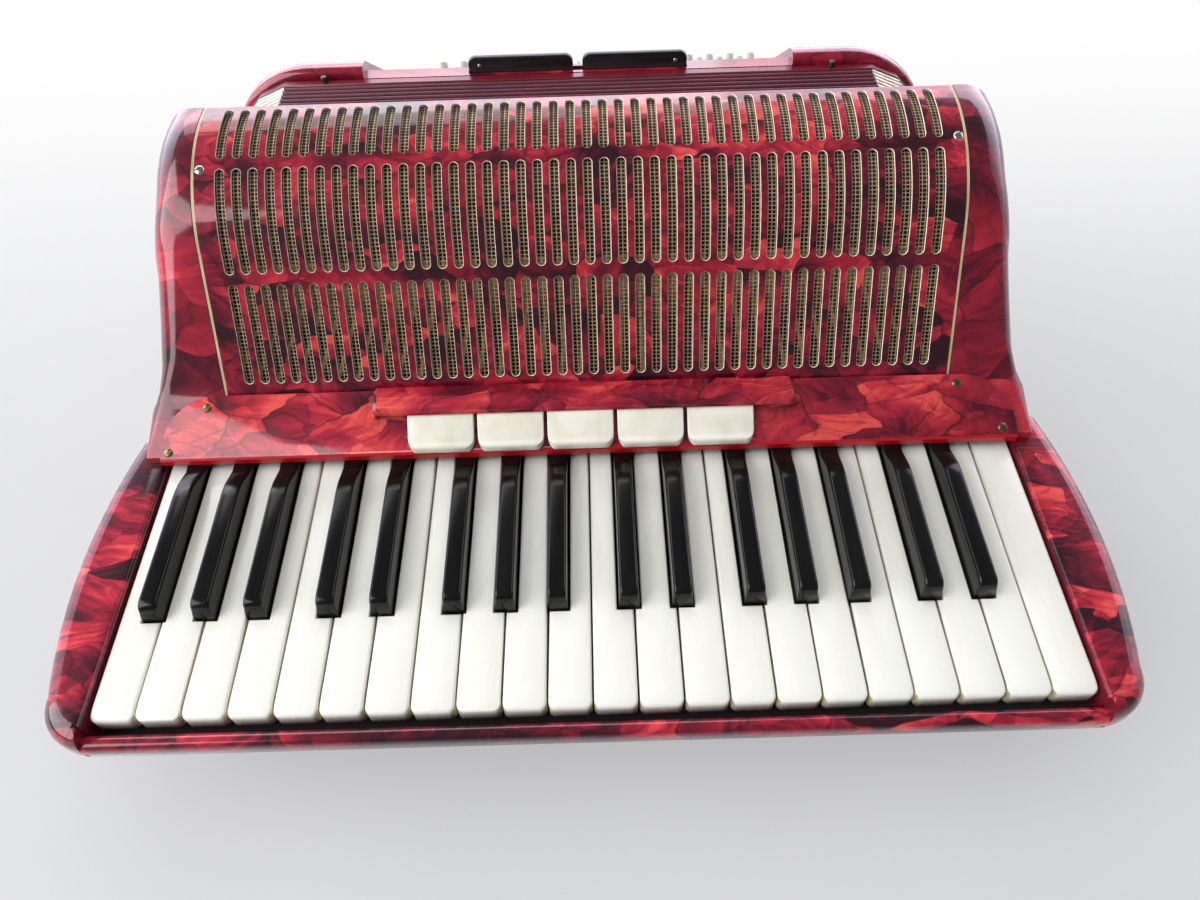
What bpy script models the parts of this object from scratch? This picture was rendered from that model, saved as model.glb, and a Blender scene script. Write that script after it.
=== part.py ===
"""Piano accordion with 37 treble keys, lying on its back with the bellows closed.

Metres, +Z up. +X runs along the keyboard and +Y from the keyboard to the bass side.
Heights are measured from the table that the instrument lies on. Depths are measured from
the front edge of the white keys, and place() then centres the instrument over the origin.
"""

import math

import bmesh
import bpy
from mathutils import Matrix, Vector

# Clearances
SEAT_GAP = 0.0003
RUN_GAP = 0.00015

# Keyboard
KEY_TOP = 0.075
KEY_PITCH = 0.0195
KEY_GAP = 0.0008
WHITE_COUNT = 22
KEY_LENGTH = 0.145
KEY_THICKNESS = 0.010
KEY_EDGE = 0.0008
KEY_DIP = 0.005
HEAD_LENGTH = 0.0456
BLACK_WIDTH = 0.0096
BLACK_HEIGHT = 0.0105
BLACK_NOSE = 0.003
BLACK_SHOULDER = 0.034
BLACK_TAIL_HEIGHT = 0.0042
BLACK_SHIFTS = {0: -0.0040, 1: 0.0, 2: 0.0042, 4: -0.0024, 5: 0.0023}
WHITES_IN_OCTAVE = 7

# Key action
TAIL_ROOM = 0.004
FRONT_WALL = 0.006
AXLE_DROP = 0.006
AXLE_RADIUS = 0.0015
AXLE_SOCKET = 0.003
LEVER_WIDTH = 0.006
LEVER_HEIGHT = 0.0075
LEVER_END = 0.007
LEVER_ROOM = 0.0017
ARM_WIDTH = 0.002
ARM_THICKNESS = 0.0024
ARM_RISE = 0.051
PALLET_PITCH = 0.0097
PALLET_WIDTH = 0.0082
PALLET_HEIGHT = 0.040
PALLET_THICKNESS = 0.005

# Key cover with its hood
COVER_MARGIN = 0.0015
COVER_OVERLAP = 0.014
COVER_LIFT = 0.0006
COVER_LIP_HEIGHT = 0.0044
COVER_SLOPE = math.radians(30.9)
COVER_LENGTH = 0.0315
COVER_THICKNESS = 0.0021
COVER_CORNER = 0.028
HOOD_SETBACK = 0.0125
HOOD_CENTRE = -0.002
HOOD_HALF = 0.106
HOOD_WALL = 0.002
HOOD_RISE = 0.0112
HOOD_LIP_CLEAR = 0.0080
HOOD_REACH = 0.0155
HOOD_ROUND = 0.002
HOOD_END_SLANT = 0.0035

# Register switches
SWITCH_COUNT = 5
SWITCH_WIDTH = 0.033
SWITCH_PITCH = 0.035
SWITCH_CENTRE = -0.0035
SWITCH_LENGTH = 0.020
SWITCH_AXLE_SETBACK = 0.0065
SWITCH_AXLE_RISE = 0.0033
SWITCH_AXLE_RADIUS = 0.0012
SWITCH_BARREL = 0.0024
SWITCH_EDGE = 0.0007
RAISED_SWITCH = 3
SWITCH_LIFT = math.radians(4)

# Grille
GRILLE_MARGIN = 0.0096
GRILLE_SLOPE = math.radians(60)
GRILLE_RUN = 0.0733
CREST_RADIUS = 0.070
CREST_FLAT = 0.0055
CURVE_STEP = 0.013
GRILLE_THICKNESS = 0.002
MESH_THICKNESS = 0.0005
SLOT_COUNT = 44
SLOT_PITCH = 0.00795
SLOT_WIDTH = 0.0042
SLOT_ROWS = ((0.006, 0.056), (0.0615, 0.1115), (0.117, 0.149))

# Treble casing
END_WIDTH = 0.0229
FLARE_REACH = 0.073
FLARE_WIDTH = 0.019
FLARE_BEND = 1.4
TIP_TAPER = 0.0018
WING_SETBACK = 0.003
END_ROUND = 0.018
TIP_ROUND = 0.0012
BACK_ROUND = 0.008
WALL = 0.006
SOUNDBOARD_THICKNESS = 0.006
LEDGE = 0.0045
REED_DEPTH = 0.045
REED_WALL = 0.017
REED_ROOF = 0.029
ARM_ROOM_HEIGHT = 0.049

# Keyboard frame
CHEEK_WIDTH = 0.0295
FRAME_WAIST = 0.009
FRAME_WIDEST = 0.075
FRAME_FRONT_TAPER = 0.010
FRAME_STEPS = 7
FRAME_RISE = 0.003
BED_THICKNESS = 0.009
FRAME_CORNER = 0.022
FRAME_EDGE_ROUND = 0.009
FRAME_UNDER_ROUND = 0.013
POCKET_GAP = 0.0011
RAIL_FRONT = 0.0105
RAIL_GAP = 0.0034
RAIL_DROP = 0.005
RAIL_ROUND = 0.0032
RAIL_MARGIN = 0.0012

# Bellows
BELLOWS_INSET = 0.015
BELLOWS_DROP = 0.009
BELLOWS_BOTTOM = 0.004
BELLOWS_CHAMFER = 0.038
BELLOWS_FOLDS = 9
FOLD_PITCH = 0.0036
FOLD_DEPTH = 0.005
BELLOWS_WALL = 0.024
BELLOWS_FRAME_DEPTH = 0.005

# Bass casing
BASS_INSET = 0.002
BASS_DEPTH = 0.088
BASS_RISE = 0.005
BASS_CROWN = 0.007
BASS_SLOPE = math.radians(35)
BASS_SHOULDER = 0.048
BASS_FOOT_ROUND = 0.015
BASS_FACE_ROUND = 0.010
BASS_WALL = 0.008
BOARD_MARGIN = 0.0165
BOARD_RIM = 0.008
BOARD_DROP = 0.0005
BOARD_SLOPE = math.radians(37)
BOARD_THICKNESS = 0.003
BOARD_FLOOR = 0.0167
BUTTON_COLUMNS = 16
BUTTON_ROWS = 6
BUTTON_PITCH = 0.0112
BUTTON_SKEW = 0.0037
BUTTON_ROW_PITCH = 0.0115
BUTTON_RADIUS = 0.0032
BUTTON_HEIGHT = 0.0060
FIRST_BUTTON_ROW = 0.016

# Bass register paddles
PADDLE_WIDTH = 0.055
PADDLE_GAP = 0.005
PADDLE_HEIGHT = 0.008
PADDLE_THICKNESS = 0.003
PADDLE_BEAD = 0.0018
PADDLE_CORNER = 0.004

# Hand strap, its wheel and the air button
STRAP_SETBACK = 0.038
STRAP_PAD = 0.020
STRAP_BOTTOM = 0.027
STRAP_WIDTH = 0.058
STRAP_THICKNESS = 0.003
STRAP_BOW = 0.022
WHEEL_SETBACK = 0.024
WHEEL_RADIUS = 0.012
WHEEL_THICKNESS = 0.005
WHEEL_PROUD = 0.003
WHEEL_TEETH = 16
WHEEL_TOOTH = 0.0006
WHEEL_PIN = 0.0015
WHEEL_PIN_LENGTH = 0.003
AIR_SETBACK = 0.038
AIR_RISE = 0.027
AIR_RADIUS = 0.007
AIR_PROUD = 0.005
AIR_STEM = 0.0025
AIR_STEM_LENGTH = 0.006

# Reed blocks
TREBLE_FIN_COUNT = 3
TREBLE_FIN_PITCH = 0.048
TREBLE_FIN_REACH = 0.036
TREBLE_REED_MARGIN = 0.016
BASS_FIN_COUNT = 2
BASS_FIN_PITCH = 0.046
BASS_FIN_REACH = 0.050
BASS_REED_MARGIN = 0.056
FIN_ROOT = 0.018
FIN_TIP = 0.009
REED_BASE = 0.004
REED_FOOT = 0.008

# Places worked out from the sizes above, from the keys back to the grille
KEYBOARD_HALF = WHITE_COUNT * KEY_PITCH / 2
BODY_FRONT = KEY_LENGTH + TAIL_ROOM
AXLE_DEPTH = BODY_FRONT + FRONT_WALL
AXLE_HEIGHT = KEY_TOP - AXLE_DROP
LEVER_BACK = AXLE_DEPTH + LEVER_END
ARM_ROOM_HALF = KEYBOARD_HALF - (KEY_PITCH + min(BLACK_SHIFTS.values())) / 2 + BLACK_WIDTH / 4
ARM_ROOM_HALF += KEY_GAP / 4 + LEVER_WIDTH / 2 + LEVER_ROOM
FRAME_HALF = KEYBOARD_HALF + CHEEK_WIDTH
FRAME_TOP = KEY_TOP + FRAME_RISE
BED_TOP = KEY_TOP - KEY_THICKNESS - KEY_DIP
FRAME_BOTTOM = BED_TOP - BED_THICKNESS
RAIL_TOP = KEY_TOP - RAIL_DROP
RAIL_HALF = KEYBOARD_HALF + POCKET_GAP + RAIL_MARGIN
COVER_HALF = KEYBOARD_HALF + COVER_MARGIN
COVER_LIP_DEPTH = KEY_LENGTH - COVER_OVERLAP
COVER_LIP_BOTTOM = KEY_TOP + BLACK_TAIL_HEIGHT + COVER_LIFT
COVER_FOOT_DEPTH = COVER_LIP_DEPTH + COVER_LIP_HEIGHT / 4
COVER_FOOT_HEIGHT = COVER_LIP_BOTTOM + COVER_LIP_HEIGHT
HOOD_LIP_DEPTH = COVER_LIP_DEPTH + HOOD_SETBACK
SWITCH_AXLE_DEPTH = HOOD_LIP_DEPTH + SWITCH_AXLE_SETBACK
SWITCH_AXLE_RUN = SWITCH_AXLE_DEPTH - COVER_FOOT_DEPTH
SWITCH_AXLE_HEIGHT = (
    COVER_FOOT_HEIGHT + SWITCH_AXLE_RUN * math.tan(COVER_SLOPE) + SWITCH_AXLE_RISE
)
WING_FRONT = COVER_LIP_DEPTH + WING_SETBACK
WING_BOTTOM = FRAME_TOP + SEAT_GAP

# Grille and casing
GRILLE_HALF = SLOT_COUNT * SLOT_PITCH / 2 + GRILLE_MARGIN
GRILLE_FOOT_DEPTH = (
    COVER_FOOT_DEPTH
    + COVER_LENGTH * math.cos(COVER_SLOPE)
    + COVER_THICKNESS * math.sin(COVER_SLOPE)
    + SEAT_GAP
)
GRILLE_FOOT_HEIGHT = (
    COVER_FOOT_HEIGHT
    + COVER_LENGTH * math.sin(COVER_SLOPE)
    - COVER_THICKNESS * math.cos(COVER_SLOPE)
)
CREST_DEPTH = (
    GRILLE_FOOT_DEPTH
    + GRILLE_RUN * math.cos(GRILLE_SLOPE)
    + CREST_RADIUS * math.sin(GRILLE_SLOPE)
)
CREST_HEIGHT = (
    GRILLE_FOOT_HEIGHT
    + GRILLE_RUN * math.sin(GRILLE_SLOPE)
    + CREST_RADIUS * (1 - math.cos(GRILLE_SLOPE))
)
SEAT_DEPTH = GRILLE_THICKNESS + MESH_THICKNESS + 2 * SEAT_GAP
BODY_HALF = GRILLE_HALF + END_WIDTH
BODY_BACK = CREST_DEPTH + CREST_FLAT
SOUNDBOARD_BACK = BODY_BACK - REED_DEPTH
SOUNDBOARD_FRONT = SOUNDBOARD_BACK - SOUNDBOARD_THICKNESS
REED_CHAMBER_HALF = BODY_HALF - REED_WALL
REED_CHAMBER_TOP = CREST_HEIGHT - REED_ROOF
PALLET_MIDDLE = AXLE_HEIGHT + ARM_RISE

# Bellows and bass casing
BELLOWS_HALF = BODY_HALF - BELLOWS_INSET
BELLOWS_TOP = CREST_HEIGHT - BELLOWS_DROP
BELLOWS_START = BODY_BACK + SEAT_GAP
BELLOWS_END = BELLOWS_START + BELLOWS_FOLDS * FOLD_PITCH
FRAME_START = BELLOWS_END + SEAT_GAP
BASS_HALF = BELLOWS_HALF - BASS_INSET
BASS_START = FRAME_START + BELLOWS_FRAME_DEPTH + SEAT_GAP
BASS_FACE = BASS_START + BASS_DEPTH
BUTTONS_HALF = ((BUTTON_COLUMNS - 1) * BUTTON_PITCH + (BUTTON_ROWS - 1) * BUTTON_SKEW) / 2
BOARD_HALF = BUTTONS_HALF + BUTTON_RADIUS + BOARD_MARGIN
BOARD_FALL = (BASS_DEPTH - BOARD_RIM) * math.tan(BOARD_SLOPE)
BASS_HOLLOW_TOP = BELLOWS_TOP - BOARD_DROP - BOARD_FALL - BOARD_FLOOR
STRAP_HALF = BASS_HALF - STRAP_SETBACK
STRAP_FACE = BASS_FACE + SEAT_GAP + STRAP_BOW + STRAP_THICKNESS
WHEEL_X = WHEEL_SETBACK - BASS_HALF
AIR_X = AIR_SETBACK - BASS_HALF
AIR_HEIGHT = STRAP_BOTTOM + STRAP_WIDTH + AIR_RISE
TREBLE_REED_HALF = REED_CHAMBER_HALF - TREBLE_REED_MARGIN
BASS_REED_HALF = BASS_HALF - BASS_REED_MARGIN
MIDDLE_DEPTH = (STRAP_FACE - RAIL_FRONT) / 2

# Finishes
PEARLOID = ("red pearloid celluloid", "8c1220", 0.18, 0.0)
RED_EDGE = ("plain red celluloid", "a3121c", 0.25, 0.0)
IVORY = ("ivory key plastic", "e4e2d4", 0.30, 0.0)
EBONY = ("black key plastic", "0c0c0d", 0.16, 0.0)
CREAM = ("cream switch plastic", "e2dfcf", 0.28, 0.0)
SATIN_BLACK = ("satin black plastic", "151516", 0.40, 0.0)
GILT = ("gilt wire mesh", "8c7c4c", 0.42, 1.0)
STEEL = ("bright steel", "b8b8b4", 0.30, 1.0)
SPRUCE = ("spruce reed block", "c49a66", 0.70, 0.0)
MAROON_CLOTH = ("maroon bellows cloth", "5b2a38", 0.80, 0.0)
MAROON_FRAME = ("maroon bellows frame", "6a1824", 0.45, 0.0)
LEATHER = ("black strap leather", "1c1a1a", 0.55, 0.0)
NICKEL = ("nickel plate", "c4c2ba", 0.25, 1.0)


def clear_scene():
    for old in list(bpy.data.objects):
        bpy.data.objects.remove(old, do_unlink=True)


def material(finish):
    name, colour, roughness, metallic = finish
    found = bpy.data.materials.get(name)
    if found:
        return found
    made = bpy.data.materials.new(name)
    made.use_nodes = True
    shader = made.node_tree.nodes["Principled BSDF"]
    channels = [int(colour[i : i + 2], 16) / 255 for i in (0, 2, 4)]
    linear = [c / 12.92 if c <= 0.04045 else ((c + 0.055) / 1.055) ** 2.4 for c in channels]
    shader.inputs["Base Color"].default_value = (*linear, 1)
    shader.inputs["Roughness"].default_value = roughness
    shader.inputs["Metallic"].default_value = metallic
    return made


def mesh_object(name, bm):
    bmesh.ops.recalc_face_normals(bm, faces=bm.faces)
    mesh = bpy.data.meshes.new(name)
    bm.to_mesh(mesh)
    bm.free()
    made = bpy.data.objects.new(name, mesh)
    bpy.context.scene.collection.objects.link(made)
    return made


def combine(target, tool, operation):
    """Cuts the tool from the target, or joins it on, and removes the tool."""
    modifier = target.modifiers.new(operation.lower(), "BOOLEAN")
    modifier.operation = operation
    modifier.object = tool
    bpy.context.view_layer.update()
    shape = target.evaluated_get(bpy.context.evaluated_depsgraph_get())
    result = bpy.data.meshes.new_from_object(shape)
    target.modifiers.clear()
    spent = (target.data, tool.data)
    target.data = result
    bpy.data.objects.remove(tool, do_unlink=True)
    for mesh in spent:
        bpy.data.meshes.remove(mesh)


def cut(target, bm):
    combine(target, mesh_object("cutter", bm), "DIFFERENCE")


def join(target, bm):
    combine(target, mesh_object("addition", bm), "UNION")


def place(piece, finish, pivot=(0, 0, 0), turn=0):
    """Puts the origin on the pivot, gives the finish and centres the piece in the frame."""
    mesh = piece.data
    mesh.transform(Matrix.Translation(-Vector(pivot)))
    mesh.materials.clear()
    mesh.materials.append(material(finish))
    mesh.shade_smooth()
    mesh.set_sharp_from_angle(angle=math.radians(35))
    piece.location = Vector(pivot) - Vector((0, MIDDLE_DEPTH, 0))
    piece.rotation_euler.x = turn
    return piece


def prism(outline, axis, low, high):
    """An outline in the plane across the axis, drawn out along it."""
    put = {
        "X": lambda a, b, c: (c, a, b),
        "Y": lambda a, b, c: (a, c, b),
        "Z": lambda a, b, c: (a, b, c),
    }[axis]
    bm = bmesh.new()
    face = bm.faces.new([bm.verts.new(put(a, b, low)) for a, b in outline])
    drawn = bmesh.ops.extrude_face_region(bm, geom=[face])
    moved = [v for v in drawn["geom"] if isinstance(v, bmesh.types.BMVert)]
    bmesh.ops.translate(bm, verts=moved, vec=put(0, 0, high - low))
    bmesh.ops.recalc_face_normals(bm, faces=bm.faces)
    return bm


def block(x, y, z):
    """A box from the (low, high) pairs of its three sides."""
    bm = bmesh.new()
    made = bmesh.ops.create_cube(bm, size=1)
    size = Vector((x[1] - x[0], y[1] - y[0], z[1] - z[0]))
    bmesh.ops.scale(bm, verts=made["verts"], vec=size)
    middle = Vector((x[0] + x[1], y[0] + y[1], z[0] + z[1])) / 2
    bmesh.ops.translate(bm, verts=made["verts"], vec=middle)
    return bm


def rod(axis, centre, radius, low, high, sides):
    """A round bar along an axis. The centre is given in the plane across that axis."""
    return prism(arc(centre, radius, 0, 2 * math.pi, sides)[:-1], axis, low, high)


def arc(centre, radius, start, end, steps):
    angles = [start + (end - start) * i / steps for i in range(steps + 1)]
    return [(centre[0] + radius * math.cos(a), centre[1] + radius * math.sin(a)) for a in angles]


def mirrored(outline):
    """A half outline at +x, closed with its mirror image."""
    return outline + [(-x, y) for x, y in reversed(outline)]


def bevel(bm, edges, width, segments):
    bmesh.ops.bevel(
        bm,
        geom=edges,
        offset=width,
        segments=segments,
        profile=0.5,
        affect="EDGES",
        offset_type="OFFSET",
        clamp_overlap=True,
        material=-1,
    )


def grille_point(run, sunk=0.0):
    """(y, z) on the grille's outer line, a run along it from its foot, sunk below it."""
    if run <= GRILLE_RUN:
        angle = GRILLE_SLOPE
        y = GRILLE_FOOT_DEPTH + run * math.cos(angle)
        z = GRILLE_FOOT_HEIGHT + run * math.sin(angle)
    else:
        angle = GRILLE_SLOPE - (run - GRILLE_RUN) / CREST_RADIUS
        y, z = grille_point(GRILLE_RUN)
        y += CREST_RADIUS * (math.sin(GRILLE_SLOPE) - math.sin(angle))
        z += CREST_RADIUS * (math.cos(angle) - math.cos(GRILLE_SLOPE))
    return y + sunk * math.sin(angle), z - sunk * math.cos(angle)


def grille_slope(run):
    return GRILLE_SLOPE - max(0.0, run - GRILLE_RUN) / CREST_RADIUS


CREST_RUN = GRILLE_RUN + CREST_RADIUS * GRILLE_SLOPE
GRILLE_END_RUN = CREST_RUN + BODY_BACK - SEAT_GAP - grille_point(CREST_RUN)[0]


def crest_point(run, sunk=0.0):
    """As grille_point, level from the crest to the back of the casing."""
    if run <= CREST_RUN:
        return grille_point(run, sunk)
    y, z = grille_point(CREST_RUN, sunk)
    return y + run - CREST_RUN, z


def curve_runs(start):
    """Runs from the start, over the curved stretch and on to the casing's back."""
    length = CREST_RUN - GRILLE_RUN
    steps = math.ceil(length / CURVE_STEP)
    return [start] + [GRILLE_RUN + length * i / steps for i in range(steps + 1)] + [GRILLE_END_RUN]


def key_centre(index, black):
    """x of a key, counted from the left among its own colour."""
    if not black:
        return (index + 0.5) * KEY_PITCH - KEYBOARD_HALF
    edge = black_boundaries()[index]
    shift = BLACK_SHIFTS[(edge - 1) % WHITES_IN_OCTAVE]
    return edge * KEY_PITCH - KEYBOARD_HALF + shift


def black_boundaries():
    """Numbers of the white keys' right edges that a black key stands on."""
    return [i + 1 for i in range(WHITE_COUNT - 1) if i % WHITES_IN_OCTAVE in BLACK_SHIFTS]


def tail_sides(index):
    """x of the two sides of a white key's tail, which its black neighbours leave."""
    reach = (KEY_PITCH - KEY_GAP) / 2
    left = key_centre(index, False) - reach
    right = key_centre(index, False) + reach
    aside = BLACK_WIDTH / 2 + KEY_GAP
    for number, edge in enumerate(black_boundaries()):
        if edge == index:
            left = key_centre(number, True) + aside
        if edge == index + 1:
            right = key_centre(number, True) - aside
    return left, right


def pallet_centres():
    """x of each key and of its pallet, both from left to right."""
    keys = [key_centre(i, False) for i in range(WHITE_COUNT)]
    keys += [key_centre(i, True) for i in range(len(black_boundaries()))]
    keys.sort()
    first = -(len(keys) - 1) / 2 * PALLET_PITCH
    return {round(x, 5): first + i * PALLET_PITCH for i, x in enumerate(keys)}


def key_action(key, centre, x):
    """Lever at x on the axle, and the arm that carries the pallet against the soundboard."""
    pallet_x = pallet_centres()[round(centre, 5)]
    lever_bottom = AXLE_HEIGHT - LEVER_HEIGHT / 2
    lever_top = AXLE_HEIGHT + LEVER_HEIGHT / 2
    side = LEVER_WIDTH / 2
    overlap = KEY_LENGTH - LEVER_WIDTH
    join(key, block((x - side, x + side), (overlap, LEVER_BACK), (lever_bottom, lever_top)))
    pallet_back = SOUNDBOARD_FRONT - SEAT_GAP
    pallet = block(
        (pallet_x - PALLET_WIDTH / 2, pallet_x + PALLET_WIDTH / 2),
        (pallet_back - PALLET_THICKNESS, pallet_back),
        (PALLET_MIDDLE - PALLET_HEIGHT / 2, PALLET_MIDDLE + PALLET_HEIGHT / 2),
    )
    arm = block(
        (x - ARM_WIDTH / 2, x + ARM_WIDTH / 2),
        (LEVER_BACK - ARM_WIDTH - ARM_THICKNESS, LEVER_BACK - ARM_WIDTH),
        (AXLE_HEIGHT + AXLE_RADIUS, PALLET_MIDDLE),
    )
    top = [v for v in arm.verts if v.co.z > AXLE_HEIGHT + LEVER_HEIGHT]
    reach = pallet_back - PALLET_THICKNESS / 4 - (LEVER_BACK - ARM_WIDTH)
    bmesh.ops.translate(arm, verts=top, vec=(pallet_x - x, reach, 0))
    join(key, arm)
    join(key, pallet)
    hole = AXLE_RADIUS + 2 * RUN_GAP
    cut(key, rod("X", (AXLE_DEPTH, AXLE_HEIGHT), hole, x - 2 * side, x + 2 * side, 6))


def white_outline(left, right):
    """Plan of a white key about its own centre, from how far its tail reaches to each side."""
    half = (KEY_PITCH - KEY_GAP) / 2
    corner = 2 * KEY_EDGE

    def side(tail):
        points = arc((half - corner, corner), corner, -math.pi / 2, 0, 2)
        if tail < half - KEY_EDGE:
            return points + [(half, HEAD_LENGTH), (tail, HEAD_LENGTH), (tail, KEY_LENGTH)]
        return points + [(half, KEY_LENGTH)]

    return side(right) + [(-x, y) for x, y in reversed(side(left))]


def white_key(index):
    x = key_centre(index, False)
    left, right = tail_sides(index)
    outline = [(x + a, b) for a, b in white_outline(x - left, right - x)]
    bm = prism(outline, "Z", KEY_TOP - KEY_THICKNESS, KEY_TOP)
    rim = [e for e in bm.edges if min(v.co.z for v in e.verts) > KEY_TOP - KEY_EDGE]
    bevel(bm, rim, KEY_EDGE, 1)
    key = mesh_object(f"white_key_{index + 1:02d}", bm)
    key_action(key, x, (left + right) / 2)
    place(key, IVORY, (x, AXLE_DEPTH, AXLE_HEIGHT))


def black_key(index):
    """The side outline gives the sloped round nose and the dip under the key cover."""
    x = key_centre(index, True)
    bottom = KEY_TOP - KEY_THICKNESS
    front = HEAD_LENGTH + KEY_GAP
    top = KEY_TOP + BLACK_HEIGHT
    tail_top = KEY_TOP + BLACK_TAIL_HEIGHT
    outline = [
        (front, bottom),
        (front, KEY_TOP),
        (front + BLACK_NOSE / 3, top - BLACK_NOSE),
        (front + BLACK_NOSE, top - BLACK_NOSE / 5),
        (front + 2 * BLACK_NOSE, top),
        (KEY_LENGTH - BLACK_SHOULDER, top),
        (COVER_LIP_DEPTH, tail_top),
        (KEY_LENGTH, tail_top),
        (KEY_LENGTH, bottom),
    ]
    bm = prism(outline, "X", x - BLACK_WIDTH / 2, x + BLACK_WIDTH / 2)
    rim = []
    for edge in bm.edges:
        a, b = edge.verts
        along = abs(a.co.x - b.co.x) < KEY_EDGE
        above = min(a.co.z, b.co.z) > KEY_TOP + BLACK_TAIL_HEIGHT / 2
        if along and above and max(a.co.y, b.co.y) < KEY_LENGTH:
            rim.append(edge)
    bevel(bm, rim, KEY_EDGE, 1)
    key = mesh_object(f"black_key_{index + 1:02d}", bm)
    key_action(key, x, x)
    place(key, EBONY, (x, AXLE_DEPTH, AXLE_HEIGHT))


def key_axle():
    half = ARM_ROOM_HALF + AXLE_SOCKET
    bm = rod("X", (AXLE_DEPTH, AXLE_HEIGHT), AXLE_RADIUS, -half, half, 8)
    place(mesh_object("key_axle", bm), STEEL)


def flare(y):
    """How far the end walls swing out towards the keyboard."""
    start = BODY_FRONT + FLARE_REACH
    share = max(0.0, (start - max(y, GRILLE_FOOT_DEPTH)) / (start - GRILLE_FOOT_DEPTH))
    tip = max(0.0, (GRILLE_FOOT_DEPTH - y) / (GRILLE_FOOT_DEPTH - WING_FRONT))
    return FLARE_WIDTH * share**FLARE_BEND - TIP_TAPER * tip


def wing_top(y):
    """Top of the end walls where the key cover lies on them."""
    foot_y, foot_z = cover_point(0, COVER_THICKNESS)
    return foot_z + (y - foot_y) * math.tan(COVER_SLOPE) - SEAT_GAP


def casing_columns():
    """(y, top, bottom, slope of the top, rounding) of the treble casing from front to back."""
    columns = []
    cover_end = cover_point(COVER_LENGTH, 0)[0]
    for y in (WING_FRONT, (WING_FRONT + BODY_FRONT) / 2, BODY_FRONT):
        columns.append((y, wing_top(y), WING_BOTTOM, COVER_SLOPE))
    front_foot = FRAME_BOTTOM / 2
    wall_foot = BODY_FRONT + RUN_GAP
    columns.append((wall_foot, wing_top(wall_foot), front_foot, COVER_SLOPE))
    middle = (BODY_FRONT + cover_end) / 2
    columns.append((middle, wing_top(middle), front_foot / 3, COVER_SLOPE))
    foot_y, foot_z = grille_point(0)
    columns.append((foot_y, foot_z, 0, (COVER_SLOPE + GRILLE_SLOPE) / 2))
    steps = 5
    runs = [GRILLE_RUN * i / steps for i in range(1, steps)] + curve_runs(GRILLE_RUN)[1:]
    for run in runs:
        y, z = crest_point(run)
        columns.append((min(y, BODY_BACK), z, 0, max(0.0, grille_slope(run))))
    columns[-1] = (BODY_BACK, columns[-1][1], 0, 0)
    rounded = []
    for y, top, bottom, slope in columns:
        radius = min(END_ROUND, TIP_ROUND + 0.45 * (y - WING_FRONT))
        rounded.append((y, top, bottom, slope, radius))
    return rounded


def ladder(rings):
    """Skins rings of (x, y, top, bottom) columns and closes both end rings."""
    bm = bmesh.new()
    made = []
    for ring in rings:
        made.append([(bm.verts.new((x, y, t)), bm.verts.new((x, y, b))) for x, y, t, b in ring])
    last = len(made[0]) - 1
    for one, two in zip(made, made[1:]):
        for i in range(last):
            bm.faces.new((one[i][0], one[i + 1][0], two[i + 1][0], two[i][0]))
            bm.faces.new((one[i][1], two[i][1], two[i + 1][1], one[i + 1][1]))
        for i in (0, last):
            bm.faces.new((one[i][0], one[i][1], two[i][1], two[i][0]))
    for ring in (made[0], made[-1]):
        for a, b in zip(ring, ring[1:]):
            bm.faces.new((a[0], b[0], b[1], a[1]))
    bmesh.ops.remove_doubles(bm, verts=bm.verts, dist=0.00002)
    bmesh.ops.recalc_face_normals(bm, faces=bm.faces)
    return bm


def casing_shape():
    """The casing's outer shape: columns skinned over rounded ends."""
    turns = [math.pi / 2 * i / 5 for i in range(6)]
    rings = []
    for side in (-1, 1):
        for turn in reversed(turns) if side < 0 else turns:
            ring = []
            for y, top, bottom, slope, radius in casing_columns():
                sink = radius * (1 - math.cos(turn))
                low = bottom + (BACK_ROUND * (1 - math.cos(turn)) if bottom < WING_BOTTOM else 0)
                x = BODY_HALF + flare(y) - radius * (1 - math.sin(turn))
                ring.append((side * x, y, top - sink / math.cos(slope), low))
            rings.append(ring)
    return ladder(rings)


def arm_room(share, inner):
    """(y, half width) of the room for the key arms, a share of the way to the pallets."""
    y = LEVER_BACK + share * (SOUNDBOARD_FRONT - PALLET_THICKNESS - LEVER_BACK)
    return y, ARM_ROOM_HALF + share * (inner - ARM_ROOM_HALF)


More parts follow.
